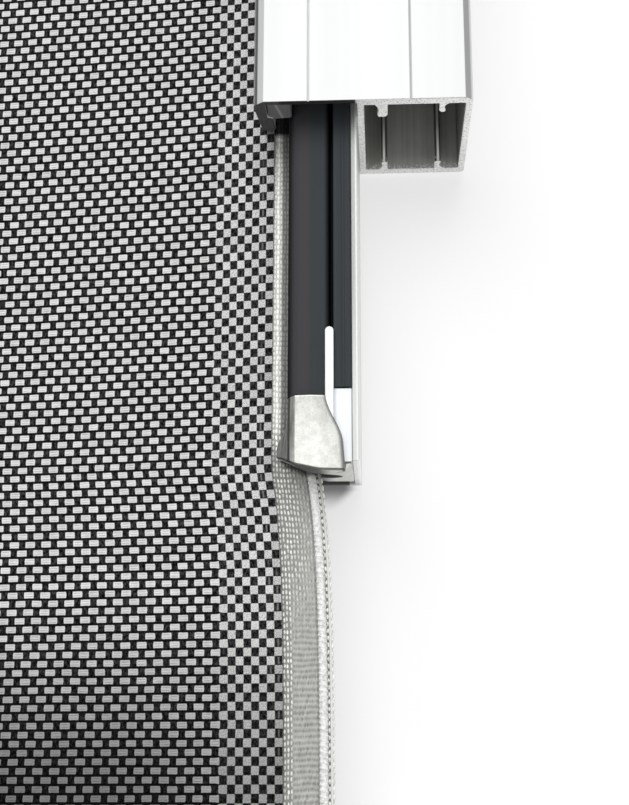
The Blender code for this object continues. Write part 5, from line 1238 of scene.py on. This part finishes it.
class BLIND_OT_side_channels(bpy.types.Operator):
    """Powder-coated side channels with sawn ends and a bare screw chamber"""
    bl_idname = "blind.side_channels"
    bl_label = "Side channels"

    def execute(self, context):
        sizes = context.scene.blind_extrusions
        # Depth from, depth to, radius and steps: the screw's hole in the back, the plug's in the front
        drills = ((-0.001, 0.004, 0.0025, 24), (0.030, 0.036, 0.0050, 32))
        for side, word in SIDES:
            body = upright(side, channel_loops(sizes), CHANNEL_LOW.z, CHANNEL_TOP,
                           broken=sizes.broken_edge, hole_index=2)
            piece = named("channel_" + word, body, [powder_coat(), sawn_end(), chamber_skin()])
            holes = []
            for level in LEVELS:
                low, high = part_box(f"wall_screw_{word}_{level}")
                middle = (low + high) / 2
                holes += [turned([(start, 0), (start, radius), (end, radius), (end, 0)],
                                 (middle.x, 0, middle.z), (0, -1, 0), steps)
                          for start, end, radius, steps in drills]
            cut(piece, *holes)
            placed(piece, "frame", "powder_coat", "side_channel_" + word)
        return {"FINISHED"}


class BLIND_OT_carrier_rails(bpy.types.Operator):
    """Thin satin rails that hold the inserts and stand out of the channels"""
    bl_idname = "blind.carrier_rails"
    bl_label = "Carrier rails"

    def execute(self, context):
        _, outside, back, front = beside_box("carrier_rail_left")
        inner = outside - 0.00108
        outer = inner + 0.00135                 # close against the chamber's wall
        foot, leg = 0.0097, back + 0.0012       # the leg reaches under the insert
        snap, snap_front = inner - 0.0013, RIB_DEPTH + 0.0010
        loop = [(foot, back, 0.0003), (outer, back, 0.0002), (outer, front, 0.00035), (inner, front, 0.00025),
                (inner, snap_front, 0.0001), (snap, snap_front, 0.0003), (snap, RIB_DEPTH, 0.0003),
                (inner, RIB_DEPTH, 0.0001), (inner, leg, 0.0002), (foot, leg, 0.0003)]
        for side, word in SIDES:
            body = upright(side, [fillet(loop, 4)], CARRIER_LOW.z, CARRIER_HIGH.z - 0.0004,
                           broken=CLEAN, end_index=0)
            piece = named("rail_" + word, body, [rail_metal()])
            placed(piece, "frame", "carrier_aluminium", "carrier_rail_" + word)
        return {"FINISHED"}


def chamber_ring(out, depth, radius_out, radius_depth, gap, steps=24):
    """Inside of the zip slot, from its back lip round the coil's chamber to its front lip."""
    start = math.asin(min(gap / 2 / radius_depth, 0.9))
    angles = (math.pi + start + (2 * math.pi - 2 * start) * k / steps for k in range(steps + 1))
    return [(out + radius_out * math.cos(a), depth + radius_depth * math.sin(a)) for a in angles]


def insert_loops():
    """Section of the guide insert: zip slot, tongue groove, snap groove and two hollows."""
    left, right, back, front = INSERT_OUT, STRIP_OUT, INSERT_BACK, GUIDE_FRONT
    groove_right, groove_end = GROOVE_OUT + GROOVE_WIDTH, front - GROOVE_DEPTH
    notch_low, notch_high, notch_out = RIB_DEPTH - 0.0003, RIB_DEPTH + 0.0013, 0.0157
    foot, step = 0.0143, back + 0.0028          # the body stands on a foot beside the rail's leg
    upper_lip, lower_lip = TAPE_DEPTH + SLOT_GAP / 2, TAPE_DEPTH - SLOT_GAP / 2

    def hair(place):
        """A hairline along the front."""
        return [(place - 0.00010, front, 0), (place, front - 0.00007, 0), (place + 0.00010, front, 0)]

    crown = [(left, upper_lip, 0.0003), (left, front - 0.0022, 0.0018),
             (left + 0.0016, front - 0.0003, 0.0026), (left + 0.0042, front, 0.0040),
             (GROOVE_OUT - 0.0008, front - 0.0002, 0.0010), (GROOVE_OUT, front - 0.0011, 0.0005)]
    rest = [(GROOVE_OUT, groove_end, 0), (groove_right, groove_end, 0), (groove_right, front, 0.00025),
            *hair(groove_right + 0.0016), *hair(groove_right + 0.0021), (right, front, 0.00025),
            (right, notch_high, 0), (notch_out, notch_high, 0), (notch_out, notch_low, 0),
            (right, notch_low, 0), (right, back, 0.0002), (foot, back, 0.0002), (foot, step, 0.0002),
            (left + 0.0010, step, 0.0010), (left, lower_lip - 0.0040, 0.0010), (left, lower_lip, 0.0003)]
    slot = chamber_ring(COIL_OUT, TAPE_DEPTH, COIL_ROOM, COIL_ROOM, SLOT_GAP)
    skin = 0.0012
    front_hollow = box_outline(left + skin + 0.0004, GROOVE_OUT - skin, TAPE_DEPTH + COIL_ROOM + skin,
                               front - 2 * skin, 0.0006, 4)
    back_hollow = box_outline(left + skin + 0.0006, notch_out - skin, step + skin,
                              TAPE_DEPTH - COIL_ROOM - skin, 0.0006, 4)
    return fillet(crown, 6) + fillet(rest, 3) + slot, front_hollow, back_hollow


class BLIND_OT_zip_guides(bpy.types.Operator):
    """Anthracite guide inserts with the zip slot, crowned front and tongue groove"""
    bl_idname = "blind.zip_guides"
    bl_label = "Zip guides"

    def execute(self, context):
        spare = 0.001                           # the cutter reaches past the insert
        strip = box_outline(GROOVE_OUT + GROOVE_WIDTH / 2, STRIP_OUT + spare, 0.0, GUIDE_FRONT + spare)
        for side, word in SIDES:
            body = upright(side, insert_loops(), GUIDE_LOW.z, GUIDE_HIGH.z, broken=CLEAN, end_index=0)
            piece = named("insert_" + word, body, [insert_plastic()], sharp=32)
            cut(piece, upright(side, [strip], GUIDE_TOP, GUIDE_HIGH.z + spare, end_index=0), index=0)
            placed(piece, "frame", "anthracite_pvc", "zip_guide_" + word)
        return {"FINISHED"}


def funnel_section(t, sizes):
    """Section of the inlet funnel as (out, depth, radius) corners; t runs from the insert to the rim."""
    front, back = GUIDE_FRONT + sizes.proud + sizes.flare * t, FUNNEL_BACK
    web, flank = GUIDE_FRONT - 0.0005, front - 0.0026
    wing = min(max((t - 0.22) / 0.60, 0.0), 1.0)
    lip = INSERT_OUT - sizes.lip_flare * wing
    gap = SLOT_GAP + (sizes.mouth - SLOT_GAP) * smooth(t)
    middle = TAPE_DEPTH + 0.0008 * smooth(t)
    shoulder = INSERT_OUT + sizes.shoulder
    right = CASTING_RIGHT + sizes.side_flare * (0.70 * smooth(t / 0.62) + 0.30 * t)
    chamber_right = COIL_OUT + COIL_ROOM + (MOUTH_RIGHT - COIL_OUT - COIL_ROOM) * smooth(t)
    chamber_left = COIL_OUT - COIL_ROOM
    lip_front, lip_back = middle + gap / 2, middle - gap / 2
    outer = [(lip, lip_front, 0.0003), (lip - 0.0001 * wing, lip_front + 0.0010, 0.0006),
             (lip + (INSERT_OUT - lip) * 0.55, (lip_front + flank) / 2 + 0.0004, 0.0020),
             (INSERT_OUT + 0.0002, flank, 0.0008), (shoulder - sizes.bevel, front - 0.0014, 0.0002),
             (shoulder, front - 0.0001, 0.0003), ((shoulder + right) / 2, front + 0.0002, 0.0030),
             (right - 0.0001, front - 0.0001, 0.00075), (right + 0.0001, web, 0.00012),
             (STRIP_OUT, web, 0.0001), (STRIP_OUT, back, 0.0003), (STRIP_OUT - 0.0050, back, 0.0008),
             (INSERT_OUT + 0.0030, back + 0.0004, 0.0012), (lip + 0.0012, lip_back - 0.0034, 0.0014),
             (lip + 0.0002, lip_back - 0.0014, 0.0010), (lip, lip_back, 0.0004)]
    inner = chamber_ring((chamber_left + chamber_right) / 2, middle, (chamber_right - chamber_left) / 2,
                         max(COIL_ROOM, gap / 2 + 0.0004), gap)
    return fillet(outer, 5), inner


class BLIND_OT_inlet_funnels(bpy.types.Operator):
    """Cast nickel funnels that lead the zip into the inserts, each with a polished tongue and web"""
    bl_idname = "blind.inlet_funnels"
    bl_label = "Inlet funnels"

    def execute(self, context):
        sizes = context.scene.blind_funnels
        steps = 30
        shares = [step / steps for step in range(steps)] + [0.985, 0.992, 0.997, 1.0]
        for side, word in SIDES:
            rings, outer_count = self.rings(side, sizes, shares)
            body = lofted(rings)
            self.mapped(body, shares, outer_count)
            piece = named("funnel_" + word, body, [cast_nickel(), shaded_mouth()], sharp=42)
            placed(piece, "frame", "satin_nickel", "inlet_funnel_" + word)
            bodies = joined(self.web(side), *self.tongue(side, sizes))
            piece = named("funnel_web_" + word, bodies, [polished_face()], sharp=42)
            placed(piece, "frame", "satin_nickel")
        return {"FINISHED"}

    def rings(self, side, sizes, shares):
        """The skin's rings from the insert to the bowed and rounded rim."""
        base = GUIDE_HIGH.z + 0.0003
        left, right = INSERT_OUT - sizes.lip_flare, CASTING_RIGHT + sizes.side_flare
        front = GUIDE_FRONT + sizes.proud + sizes.flare
        rings = []
        for share in shares:
            outer, inner = funnel_section(share, sizes)
            loop = outer + inner
            if share > RIM_START:
                past = (share - RIM_START) / RIM_SHARE
                loop = drawn_in(loop, sizes.rim * (1 - math.sqrt(max(1 - past * past, 0.0))))
            ring = []
            for out, depth in loop:
                bow = sizes.bow * (max(right - out, 0) / (right - left)) ** 3.3
                back = sizes.setback * max((front - depth) / (front - FUNNEL_BACK),
                                           smooth((out - right) / 0.0002))
                end = FUNNEL_TOP - min(bow + back, sizes.bow)
                ring.append(at(side, out, depth, base + (end - base) * share))
            rings.append(ring)
        if len(loop) != FUNNEL_POINTS:
            raise RuntimeError("the funnel's section has another number of points")
        return rings, len(outer)

    def mapped(self, body, shares, outer_count):
        """Map the skin: u round the section, v along the funnel; the walls of the mouth take material 1."""
        layer = body.loops.layers.uv.new("UVMap")
        body.verts.ensure_lookup_table()
        for face in body.faces:
            if len(face.verts) == 3:
                for loop in face.loops:
                    loop[layer].uv = (0.62, MOUTH_MARK)
                continue
            places = [vert.index % FUNNEL_POINTS for vert in face.verts]
            wraps = max(places) - min(places) > 2
            for loop, index in zip(face.loops, places):
                around = index + FUNNEL_POINTS if wraps and index < 2 else index
                loop[layer].uv = (around / FUNNEL_POINTS, shares[loop.vert.index // FUNNEL_POINTS])
            if all(index >= outer_count for index in places):
                face.material_index = 1

    def web(self, side):
        """Flat strip beside the rail, from the insert's stepped end to the rim."""
        strip = box_outline(GROOVE_OUT + GROOVE_WIDTH, STRIP_OUT, FUNNEL_BACK + 0.001,
                            GUIDE_FRONT - 0.00045, 0.0001)
        return upright(side, [strip], GUIDE_TOP + 0.0002, FUNNEL_TOP - 0.0019, broken=CLEAN, end_index=0)

    def tongue(self, side, sizes):
        """Blade in the groove and its rounded head on the insert's front."""
        tip, root, play = GUIDE_TOP - sizes.tongue_reach, GUIDE_TOP + 0.0085, 0.00008
        blade = (GROOVE_OUT + play, GROOVE_OUT + GROOVE_WIDTH - play,
                 GUIDE_FRONT - GROOVE_DEPTH + 0.0003, GUIDE_FRONT + 0.0004)
        head = (GROOVE_OUT - 0.00088, GROOVE_OUT + 0.00067, GUIDE_FRONT + 0.00015, GUIDE_FRONT + 0.0009)
        bodies = []
        for left, right, low, high in (blade, head):
            radius, middle = (right - left) / 2, (left + right) / 2
            shape = [(right, root), (left, root),
                     *arc(middle, tip + radius, radius, math.pi, 2 * math.pi, 16)]
            bodies.append(extruded([shape], lambda out, z, depth: at(side, out, depth, z), low, high,
                                   broken=0.00012, end_index=0))
        return bodies


class BLIND_OT_front_seals(bpy.types.Operator):
    """Soft grey seals between the front lips and the inserts"""
    bl_idname = "blind.front_seals"
    bl_label = "Front seals"

    def execute(self, context):
        left, right, back, front = beside_box("front_seal_left")
        low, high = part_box("front_seal_left")
        loop = [(left, front, 0.0003), (right, front, 0.0003), (right, back + 0.0009, 0.0004),
                (left + 0.25 * (right - left), back + 0.0005, 0.0005), (left, back + 0.0009, 0.0004)]
        for side, word in SIDES:
            body = upright(side, [fillet(loop, 4)], low.z, high.z, broken=0.0002, end_index=0)
            placed(named("seal_" + word, body, [soft_seal()]), "frame", "grey_seal", "front_seal_" + word)
        return {"FINISHED"}


def mapped_face(body, layer, corners, places):
    """Face with its places on the map."""
    for loop, place in zip(body.faces.new(corners).loops, places):
        loop[layer].uv = place


def cloth_grid(name, width_places, heights, place, thickness, material):
    """Thin closed sheet with one UV map: u across from 0 to 1 and v along from 0 to 1, given by place."""
    body = bmesh.new()
    layer = body.loops.layers.uv.new("UVMap")
    rows = [[place(across, z) for across in width_places] for z in heights]
    front, rear = ([[(body.verts.new(point + Vector((0, shift, 0))), uv) for point, uv in row]
                    for row in rows] for shift in (-thickness / 2, thickness / 2))
    last_row, last = len(heights) - 1, len(width_places) - 1

    def face(*corners):
        mapped_face(body, layer, *zip(*corners))

    for grid, direction in ((front, 1), (rear, -1)):
        for i in range(last_row):
            for j in range(last):
                face(*(grid[i][j], grid[i][j + 1], grid[i + 1][j + 1], grid[i + 1][j])[::direction])
    rim = [(0, j) for j in range(last + 1)] + [(i, last) for i in range(1, last_row + 1)]
    rim += [(last_row, j) for j in range(last - 1, -1, -1)] + [(i, 0) for i in range(last_row - 1, 0, -1)]
    for (i, j), (k, m) in zip(rim, rim[1:] + rim[:1]):
        face(front[i][j], rear[i][j], rear[k][m], front[k][m])
    bmesh.ops.recalc_face_normals(body, faces=body.faces)
    return named(name, body, [material], sharp=60)


def spaced(start, end, count):
    """Even places from start to end, both included."""
    return [start + (end - start) * step / count for step in range(count + 1)]


def squashed(piece):
    """Give the piece its own copy of its mesh; it doesn't shorten as the bar rises."""
    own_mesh(piece)
    return piece


class BLIND_OT_screen_fabric(bpy.types.Operator):
    """Hanging screen fabric whose rows bow beside the edges"""
    bl_idname = "blind.screen_fabric"
    bl_label = "Screen fabric"

    def execute(self, context):
        sizes = context.scene.blind_cloth
        low, high = FABRIC_LOW, FABRIC_HIGH
        width, tall = high.x - low.x, high.z - low.z
        reach, slope = sizes.row_bow, sizes.rows_slope
        # Heights where the rows lie level, slope most and lie level again
        calm_low, steep, calm_high = 0.02, 0.24, 0.40

        def place(across, z):
            x = low.x + across * width
            near = min(across, 1 - across) * width
            x += (LEFT if across < 0.5 else RIGHT) * edge_shift(abs(x - CENTRE) - INNER_EDGE, z)
            lean = slope * (smooth((z - calm_low) / (steep - calm_low)) if z < steep
                            else 1 - smooth((z - steep) / (calm_high - steep) * 0.92))
            bow = lean * reach / 2 * max(1 - near / reach, 0.0) ** 2
            return Vector((x, -FABRIC_DEPTH, z)), Vector((across, (z + bow + row_stretch(z) - low.z) / tall))

        edge, fine_from = 0.24, 0.20            # columns are close beside the edges, rows from this height up
        near_edge = spaced(0.0, edge, 24)
        places = near_edge + spaced(edge, 1 - edge, 16)[1:-1] + [1 - value for value in reversed(near_edge)]
        heights = spaced(low.z, fine_from, 40)[:-1] + spaced(fine_from, high.z, 60)
        piece = cloth_grid("screen", places, heights, place, high.y - low.y, woven_screen())
        placed(piece, "frame", "woven_screen", "screen_fabric")
        squashed(piece)
        return {"FINISHED"}


class BLIND_OT_zip_tapes(bpy.types.Operator):
    """Woven zip tapes welded behind the fabric's edges"""
    bl_idname = "blind.zip_tapes"
    bl_label = "Zip tapes"

    def execute(self, context):
        low, high = TAPE_LOW, TAPE_HIGH
        tall, fine_from = high.z - low.z, 0.30
        heights = spaced(low.z, fine_from, 30)[:-1] + spaced(fine_from, high.z, 60)
        for side, word in SIDES:
            def place(across, z):
                out = TAPE_INNER + across * TAPE_WIDTH
                return at(side, out + edge_shift(out, z), TAPE_DEPTH, z), Vector((across, (z - low.z) / tall))

            piece = cloth_grid("tape_" + word, spaced(0.0, 1.0, 10), heights, place, high.y - low.y,
                               zip_tape())
            placed(piece, "frame", "zip_tape", "zip_tape_" + word)
            squashed(piece)
        return {"FINISHED"}


class BLIND_OT_zip_coils(bpy.types.Operator):
    """Soft zip coils along both tapes, each with its seam and the loops of the tape's edge"""
    bl_idname = "blind.zip_coils"
    bl_label = "Zip coils"

    def execute(self, context):
        sizes = context.scene.blind_cloth
        thread = zip_thread()
        low, tall = COIL_LOW.z, COIL_HIGH.z - COIL_LOW.z
        middle, half = COIL_START + 0.00080, 0.00078
        face = TAPE_DEPTH + (TAPE_HIGH.y - TAPE_LOW.y) / 2
        depth, wire = face + 0.0004, sizes.coil_wire
        spiral = grown(coil_tree(), Across=half - wire + 0.00012, Depth=half - wire + 0.00010,
                       Pitch=sizes.coil_pitch, Height=tall, Wire=wire, Points_per_turn=12, Wire_sides=6,
                       Finish=thread)
        stitches = stitch_tree()
        seam, loops = (grown(stitches, Pitch=pitch, Height=tall - 0.001, Thread=0.00020, Stitch_length=stitch,
                             Spread=spread, Seed=seed, Finish=thread)
                       for pitch, stitch, spread, seed in ((sizes.seam_pitch, 0.00088, 0.10, 7),
                                                           (sizes.loop_pitch, 0.00112, 0.08, 11)))
        for side, word in SIDES:
            core = lofted([[at(side, middle + edge_shift(COIL_OUT, z) + (half - 0.00006) * math.cos(a),
                               depth + half * math.sin(a), z) for a in full_turn(12)]
                           for z in spaced(low, COIL_HIGH.z, 90)])
            self.hung("coil_" + word, core, "zip_coil_" + word)
            for name, source, out, behind in (("coil_turns_", spiral, middle, depth),
                                              ("coil_seam_", seam, SEAM_OUT, face + 0.00006),
                                              ("tape_loops_", loops, EDGE_OUT, face - 0.00008)):
                body = bmesh.new()
                body.from_mesh(source)
                for vert in body.verts:
                    z = low + min(vert.co.z, tall)
                    vert.co = at(side, out + vert.co.x + edge_shift(COIL_OUT, z), behind + vert.co.y, z)
                bmesh.ops.recalc_face_normals(body, faces=body.faces)
                self.hung(name + word, body)
        return {"FINISHED"}

    def hung(self, name, body, *nodes):
        """Piece of thread that hangs with the fabric."""
        piece = named(name, body, [zip_thread()], sharp=60)
        placed(piece, "frame", "zip_coil", *nodes)
        squashed(piece)


class BLIND_OT_fabric_roll(bpy.types.Operator):
    """Wound layers of fabric on the roller and the zip wound beside them"""
    bl_idname = "blind.fabric_roll"
    bl_label = "Fabric roll"

    def execute(self, context):
        inner, axis = TUBE_RADIUS + 0.0001, Vector((0, -ROLLER_DEPTH, ROLLER_HEIGHT))
        body, length_wound = self.winding(context.scene.blind_head, inner, axis)
        piece = named("wound_fabric", body, [woven_screen()], sharp=60)
        placed(piece, "roller", "woven_screen", "fabric_roll")
        bead = 0.0007                           # radius of the two beads of the wound zip
        half_turn = [math.pi * step / 6 for step in range(7)]
        for side, word in SIDES:
            low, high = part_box("zip_roll_" + word)
            start, span = (high if side == LEFT else low).x, abs(high.x - low.x)
            profile = [(0.0, inner), (0.0, ROLL_RADIUS - 0.0004)]
            for bump in range(2):
                profile += [(span * 0.66 + bump * 0.0015 + bead - bead * math.cos(a),
                             ROLL_RADIUS - 0.0010 + bead * math.sin(a)) for a in half_turn]
            profile += [(span, ROLL_RADIUS - 0.0010), (span, inner)]
            ring = turned(profile, (start, axis.y, axis.z), (side, 0, 0), 96, closed=True)
            placed(named("wound_zip_" + word, ring, [zip_thread()], sharp=50), "roller", "zip_coil",
                   "zip_roll_" + word)
        return {"FINISHED"}

    def winding(self, sizes, inner, axis):
        """Closed spiral of fabric with its map, and the wound length."""
        layer, turns = sizes.fabric_layer, sizes.wound_turns
        gain = ROLL_RADIUS - layer / 2 - 0.00002 - (inner + layer / 2)
        steps, full = 72 * turns, FABRIC_HIGH.z - FABRIC_LOW.z
        body = bmesh.new()
        layer_map = body.loops.layers.uv.new("UVMap")
        rows, travelled, last = [], 0.0, None
        for step in range(steps + 1):
            share = step / steps
            angle = math.pi / 2 + 2 * math.pi * turns * share
            spoke = Vector((0, math.sin(angle), math.cos(angle)))
            middle = axis + spoke * (inner + layer / 2 + gain * share)
            travelled += 0.0 if last is None else (middle - last).length
            last = middle
            rows.append((middle + spoke * layer * 0.47, middle - spoke * layer * 0.47, travelled / full))
        places = spaced(0.0, 1.0, 24)
        grid = [[[body.verts.new(Vector((ROLL_LOW.x + share * (ROLL_HIGH.x - ROLL_LOW.x), point.y, point.z)))
                  for share in places] for point in row[:2]] for row in rows]

        def face(corners, left, right, low, high):
            mapped_face(body, layer_map, corners, ((left, low), (right, low), (right, high), (left, high)))

        columns = list(enumerate(zip(places, places[1:])))
        for i, (first, second) in enumerate(zip(grid, grid[1:])):
            low, high = rows[i][2], rows[i + 1][2]
            for skin in (0, 1):
                for j, (left, right) in columns:
                    face([first[skin][j], first[skin][j + 1], second[skin][j + 1], second[skin][j]],
                         left, right, low, high)
            for j, edge in ((0, 0.0), (-1, 1.0)):
                face([first[0][j], first[1][j], second[1][j], second[0][j]], edge, edge, low, high)
        for i in (0, steps):
            for j, (left, right) in columns:
                outer, within = grid[i]
                face([outer[j], outer[j + 1], within[j + 1], within[j]], left, right, rows[i][2], rows[i][2])
        bmesh.ops.recalc_face_normals(body, faces=body.faces)
        return body, travelled


class BLIND_OT_crank_eye(bpy.types.Operator):
    """Forged eye under the gear housing for the crank's hook"""
    bl_idname = "blind.crank_eye"
    bl_label = "Crank eye"

    def execute(self, context):
        sizes = context.scene.blind_head
        wire, radius = sizes.eye_wire, sizes.eye_radius
        low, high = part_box("crank_eye")
        x, y = (low.x + high.x) / 2, (low.y + high.y) / 2
        centre = Vector((x, y, low.z + radius + wire))
        rings = []
        for a in full_turn(56):
            spoke = Vector((math.cos(a), 0, math.sin(a)))
            rings.append([centre + spoke * (radius + wire * math.cos(b))
                          + Vector((0, 1, 0)) * wire * math.sin(b) for b in full_turn(20)])
        profile = [(0, 0), (0, 0.0050), (0.0004, 0.0056), (0.0022, 0.0056), (0.0028, 0.0048),
                   (0.0036, 0.0041), (0.0056, 0.0038), (0.0074, 0.0034), (0.0090, 0.0028), (0.0090, 0)]
        stem = turned(profile, (x, y, high.z), (0, 0, -1), 40)
        piece = named("crank_eye_forged", joined(lofted(rings, looped=True), stem), [zinc_steel()])
        placed(piece, "crank", "zinc_steel", "crank_eye")
        return {"FINISHED"}


class BLIND_OT_idler_spring(bpy.types.Operator):
    """Spring behind the idler's pin, built at one length; the real one shortens as the pin is pressed in"""
    bl_idname = "blind.idler_spring"
    bl_label = "Idler spring"

    def execute(self, context):
        body = bmesh.new()
        body.from_mesh(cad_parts["idler_spring"].data)
        bmesh.ops.remove_doubles(body, verts=body.verts, dist=1e-6)
        piece = named("idler_spring_wire", body, [zinc_steel()], sharp=100)
        placed(piece, "frame", "zinc_steel", "idler_spring")
        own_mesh(piece)
        return {"FINISHED"}


class BLIND_OT_carried_nodes(bpy.types.Operator):
    """Finishes for the pieces whose CAD shape stays"""
    bl_idname = "blind.carried_nodes"
    bl_label = "Carried pieces"

    def execute(self, context):
        words = [word for _, word in SIDES]
        spots = [f"{word}_{level}" for word in words for level in LEVELS]
        plan = {
            plain_coat: ["bottom_bar", *("bracket_" + word for word in words)],
            rail_metal: ["roller_tube"],
            zip_thread: ["roller_keder", "bar_keder"],
            WHITE: ["idler_plug", "drive_adaptor", *("cover_plug_" + spot for spot in spots),
                    *(cap + word for cap in ("foot_cap_", "bar_cap_") for word in words)],
            GREY: ["gear_housing", "gear_cover"],
            RUBBER: ["bar_seal"],
            gear_brass: ["worm_wheel"],
            zinc_steel: ["idler_bearing", "idler_pin", "worm", "bar_weight",
                         *(f"gear_screw_{number}" for number in range(1, 5)),
                         *(screw + spot for screw in ("bracket_screw_", "wall_screw_") for spot in spots)],
        }
        for maker, nodes in plan.items():
            for name in nodes:
                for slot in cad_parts[name].material_slots:
                    slot.material = maker()
        left = [name for name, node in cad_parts.items()
                if not node.hide_render and not any(name in nodes for nodes in plan.values())]
        if left:
            raise RuntimeError("no finish for " + ", ".join(sorted(left)))
        return {"FINISHED"}


# Panel and registration

class BLIND_PT_panel(bpy.types.Panel):
    """Lists the blind's pieces"""
    bl_idname = "BLIND_PT_panel"
    bl_label = "Screen blind"
    bl_space_type = "VIEW_3D"
    bl_region_type = "UI"
    bl_category = "Blind"

    def draw(self, context):
        column = self.layout.column(align=True)
        for operator in PIECES:
            column.operator(operator.bl_idname)
        for group in GROUPS:
            settings = getattr(context.scene, group)
            box = self.layout.box()
            for name in settings.bl_rna.properties.keys():
                if name not in ("rna_type", "name"):
                    box.prop(settings, name)


GROUPS = {"blind_extrusions": ExtrusionSizes, "blind_funnels": FunnelSizes, "blind_cloth": ClothSizes,
          "blind_head": HeadSizes, "blind_colours": FinishColours, "blind_studio": StudioSettings}
PIECES = (BLIND_OT_stage, BLIND_OT_side_channels, BLIND_OT_carrier_rails, BLIND_OT_zip_guides,
          BLIND_OT_inlet_funnels, BLIND_OT_front_seals, BLIND_OT_screen_fabric, BLIND_OT_zip_tapes,
          BLIND_OT_zip_coils, BLIND_OT_fabric_roll, BLIND_OT_crank_eye, BLIND_OT_idler_spring,
          BLIND_OT_carried_nodes)


def register():
    """Add the blind's settings, operators and panel."""
    for group in GROUPS.values():
        bpy.utils.register_class(group)
    for name, group in GROUPS.items():
        setattr(bpy.types.Scene, name, PointerProperty(type=group))
    for operator in PIECES:
        bpy.utils.register_class(operator)
    bpy.utils.register_class(BLIND_PT_panel)


def unregister():
    """Take them out again."""
    bpy.utils.unregister_class(BLIND_PT_panel)
    for operator in reversed(PIECES):
        bpy.utils.unregister_class(operator)
    for name in GROUPS:
        delattr(bpy.types.Scene, name)
    for group in reversed(list(GROUPS.values())):
        bpy.utils.unregister_class(group)


def main():
    """Build the blind piece by piece."""
    register()
    for operator in PIECES:
        getattr(bpy.ops.blind, operator.bl_idname.split(".")[1])()


if __name__ == "__main__":
    main()
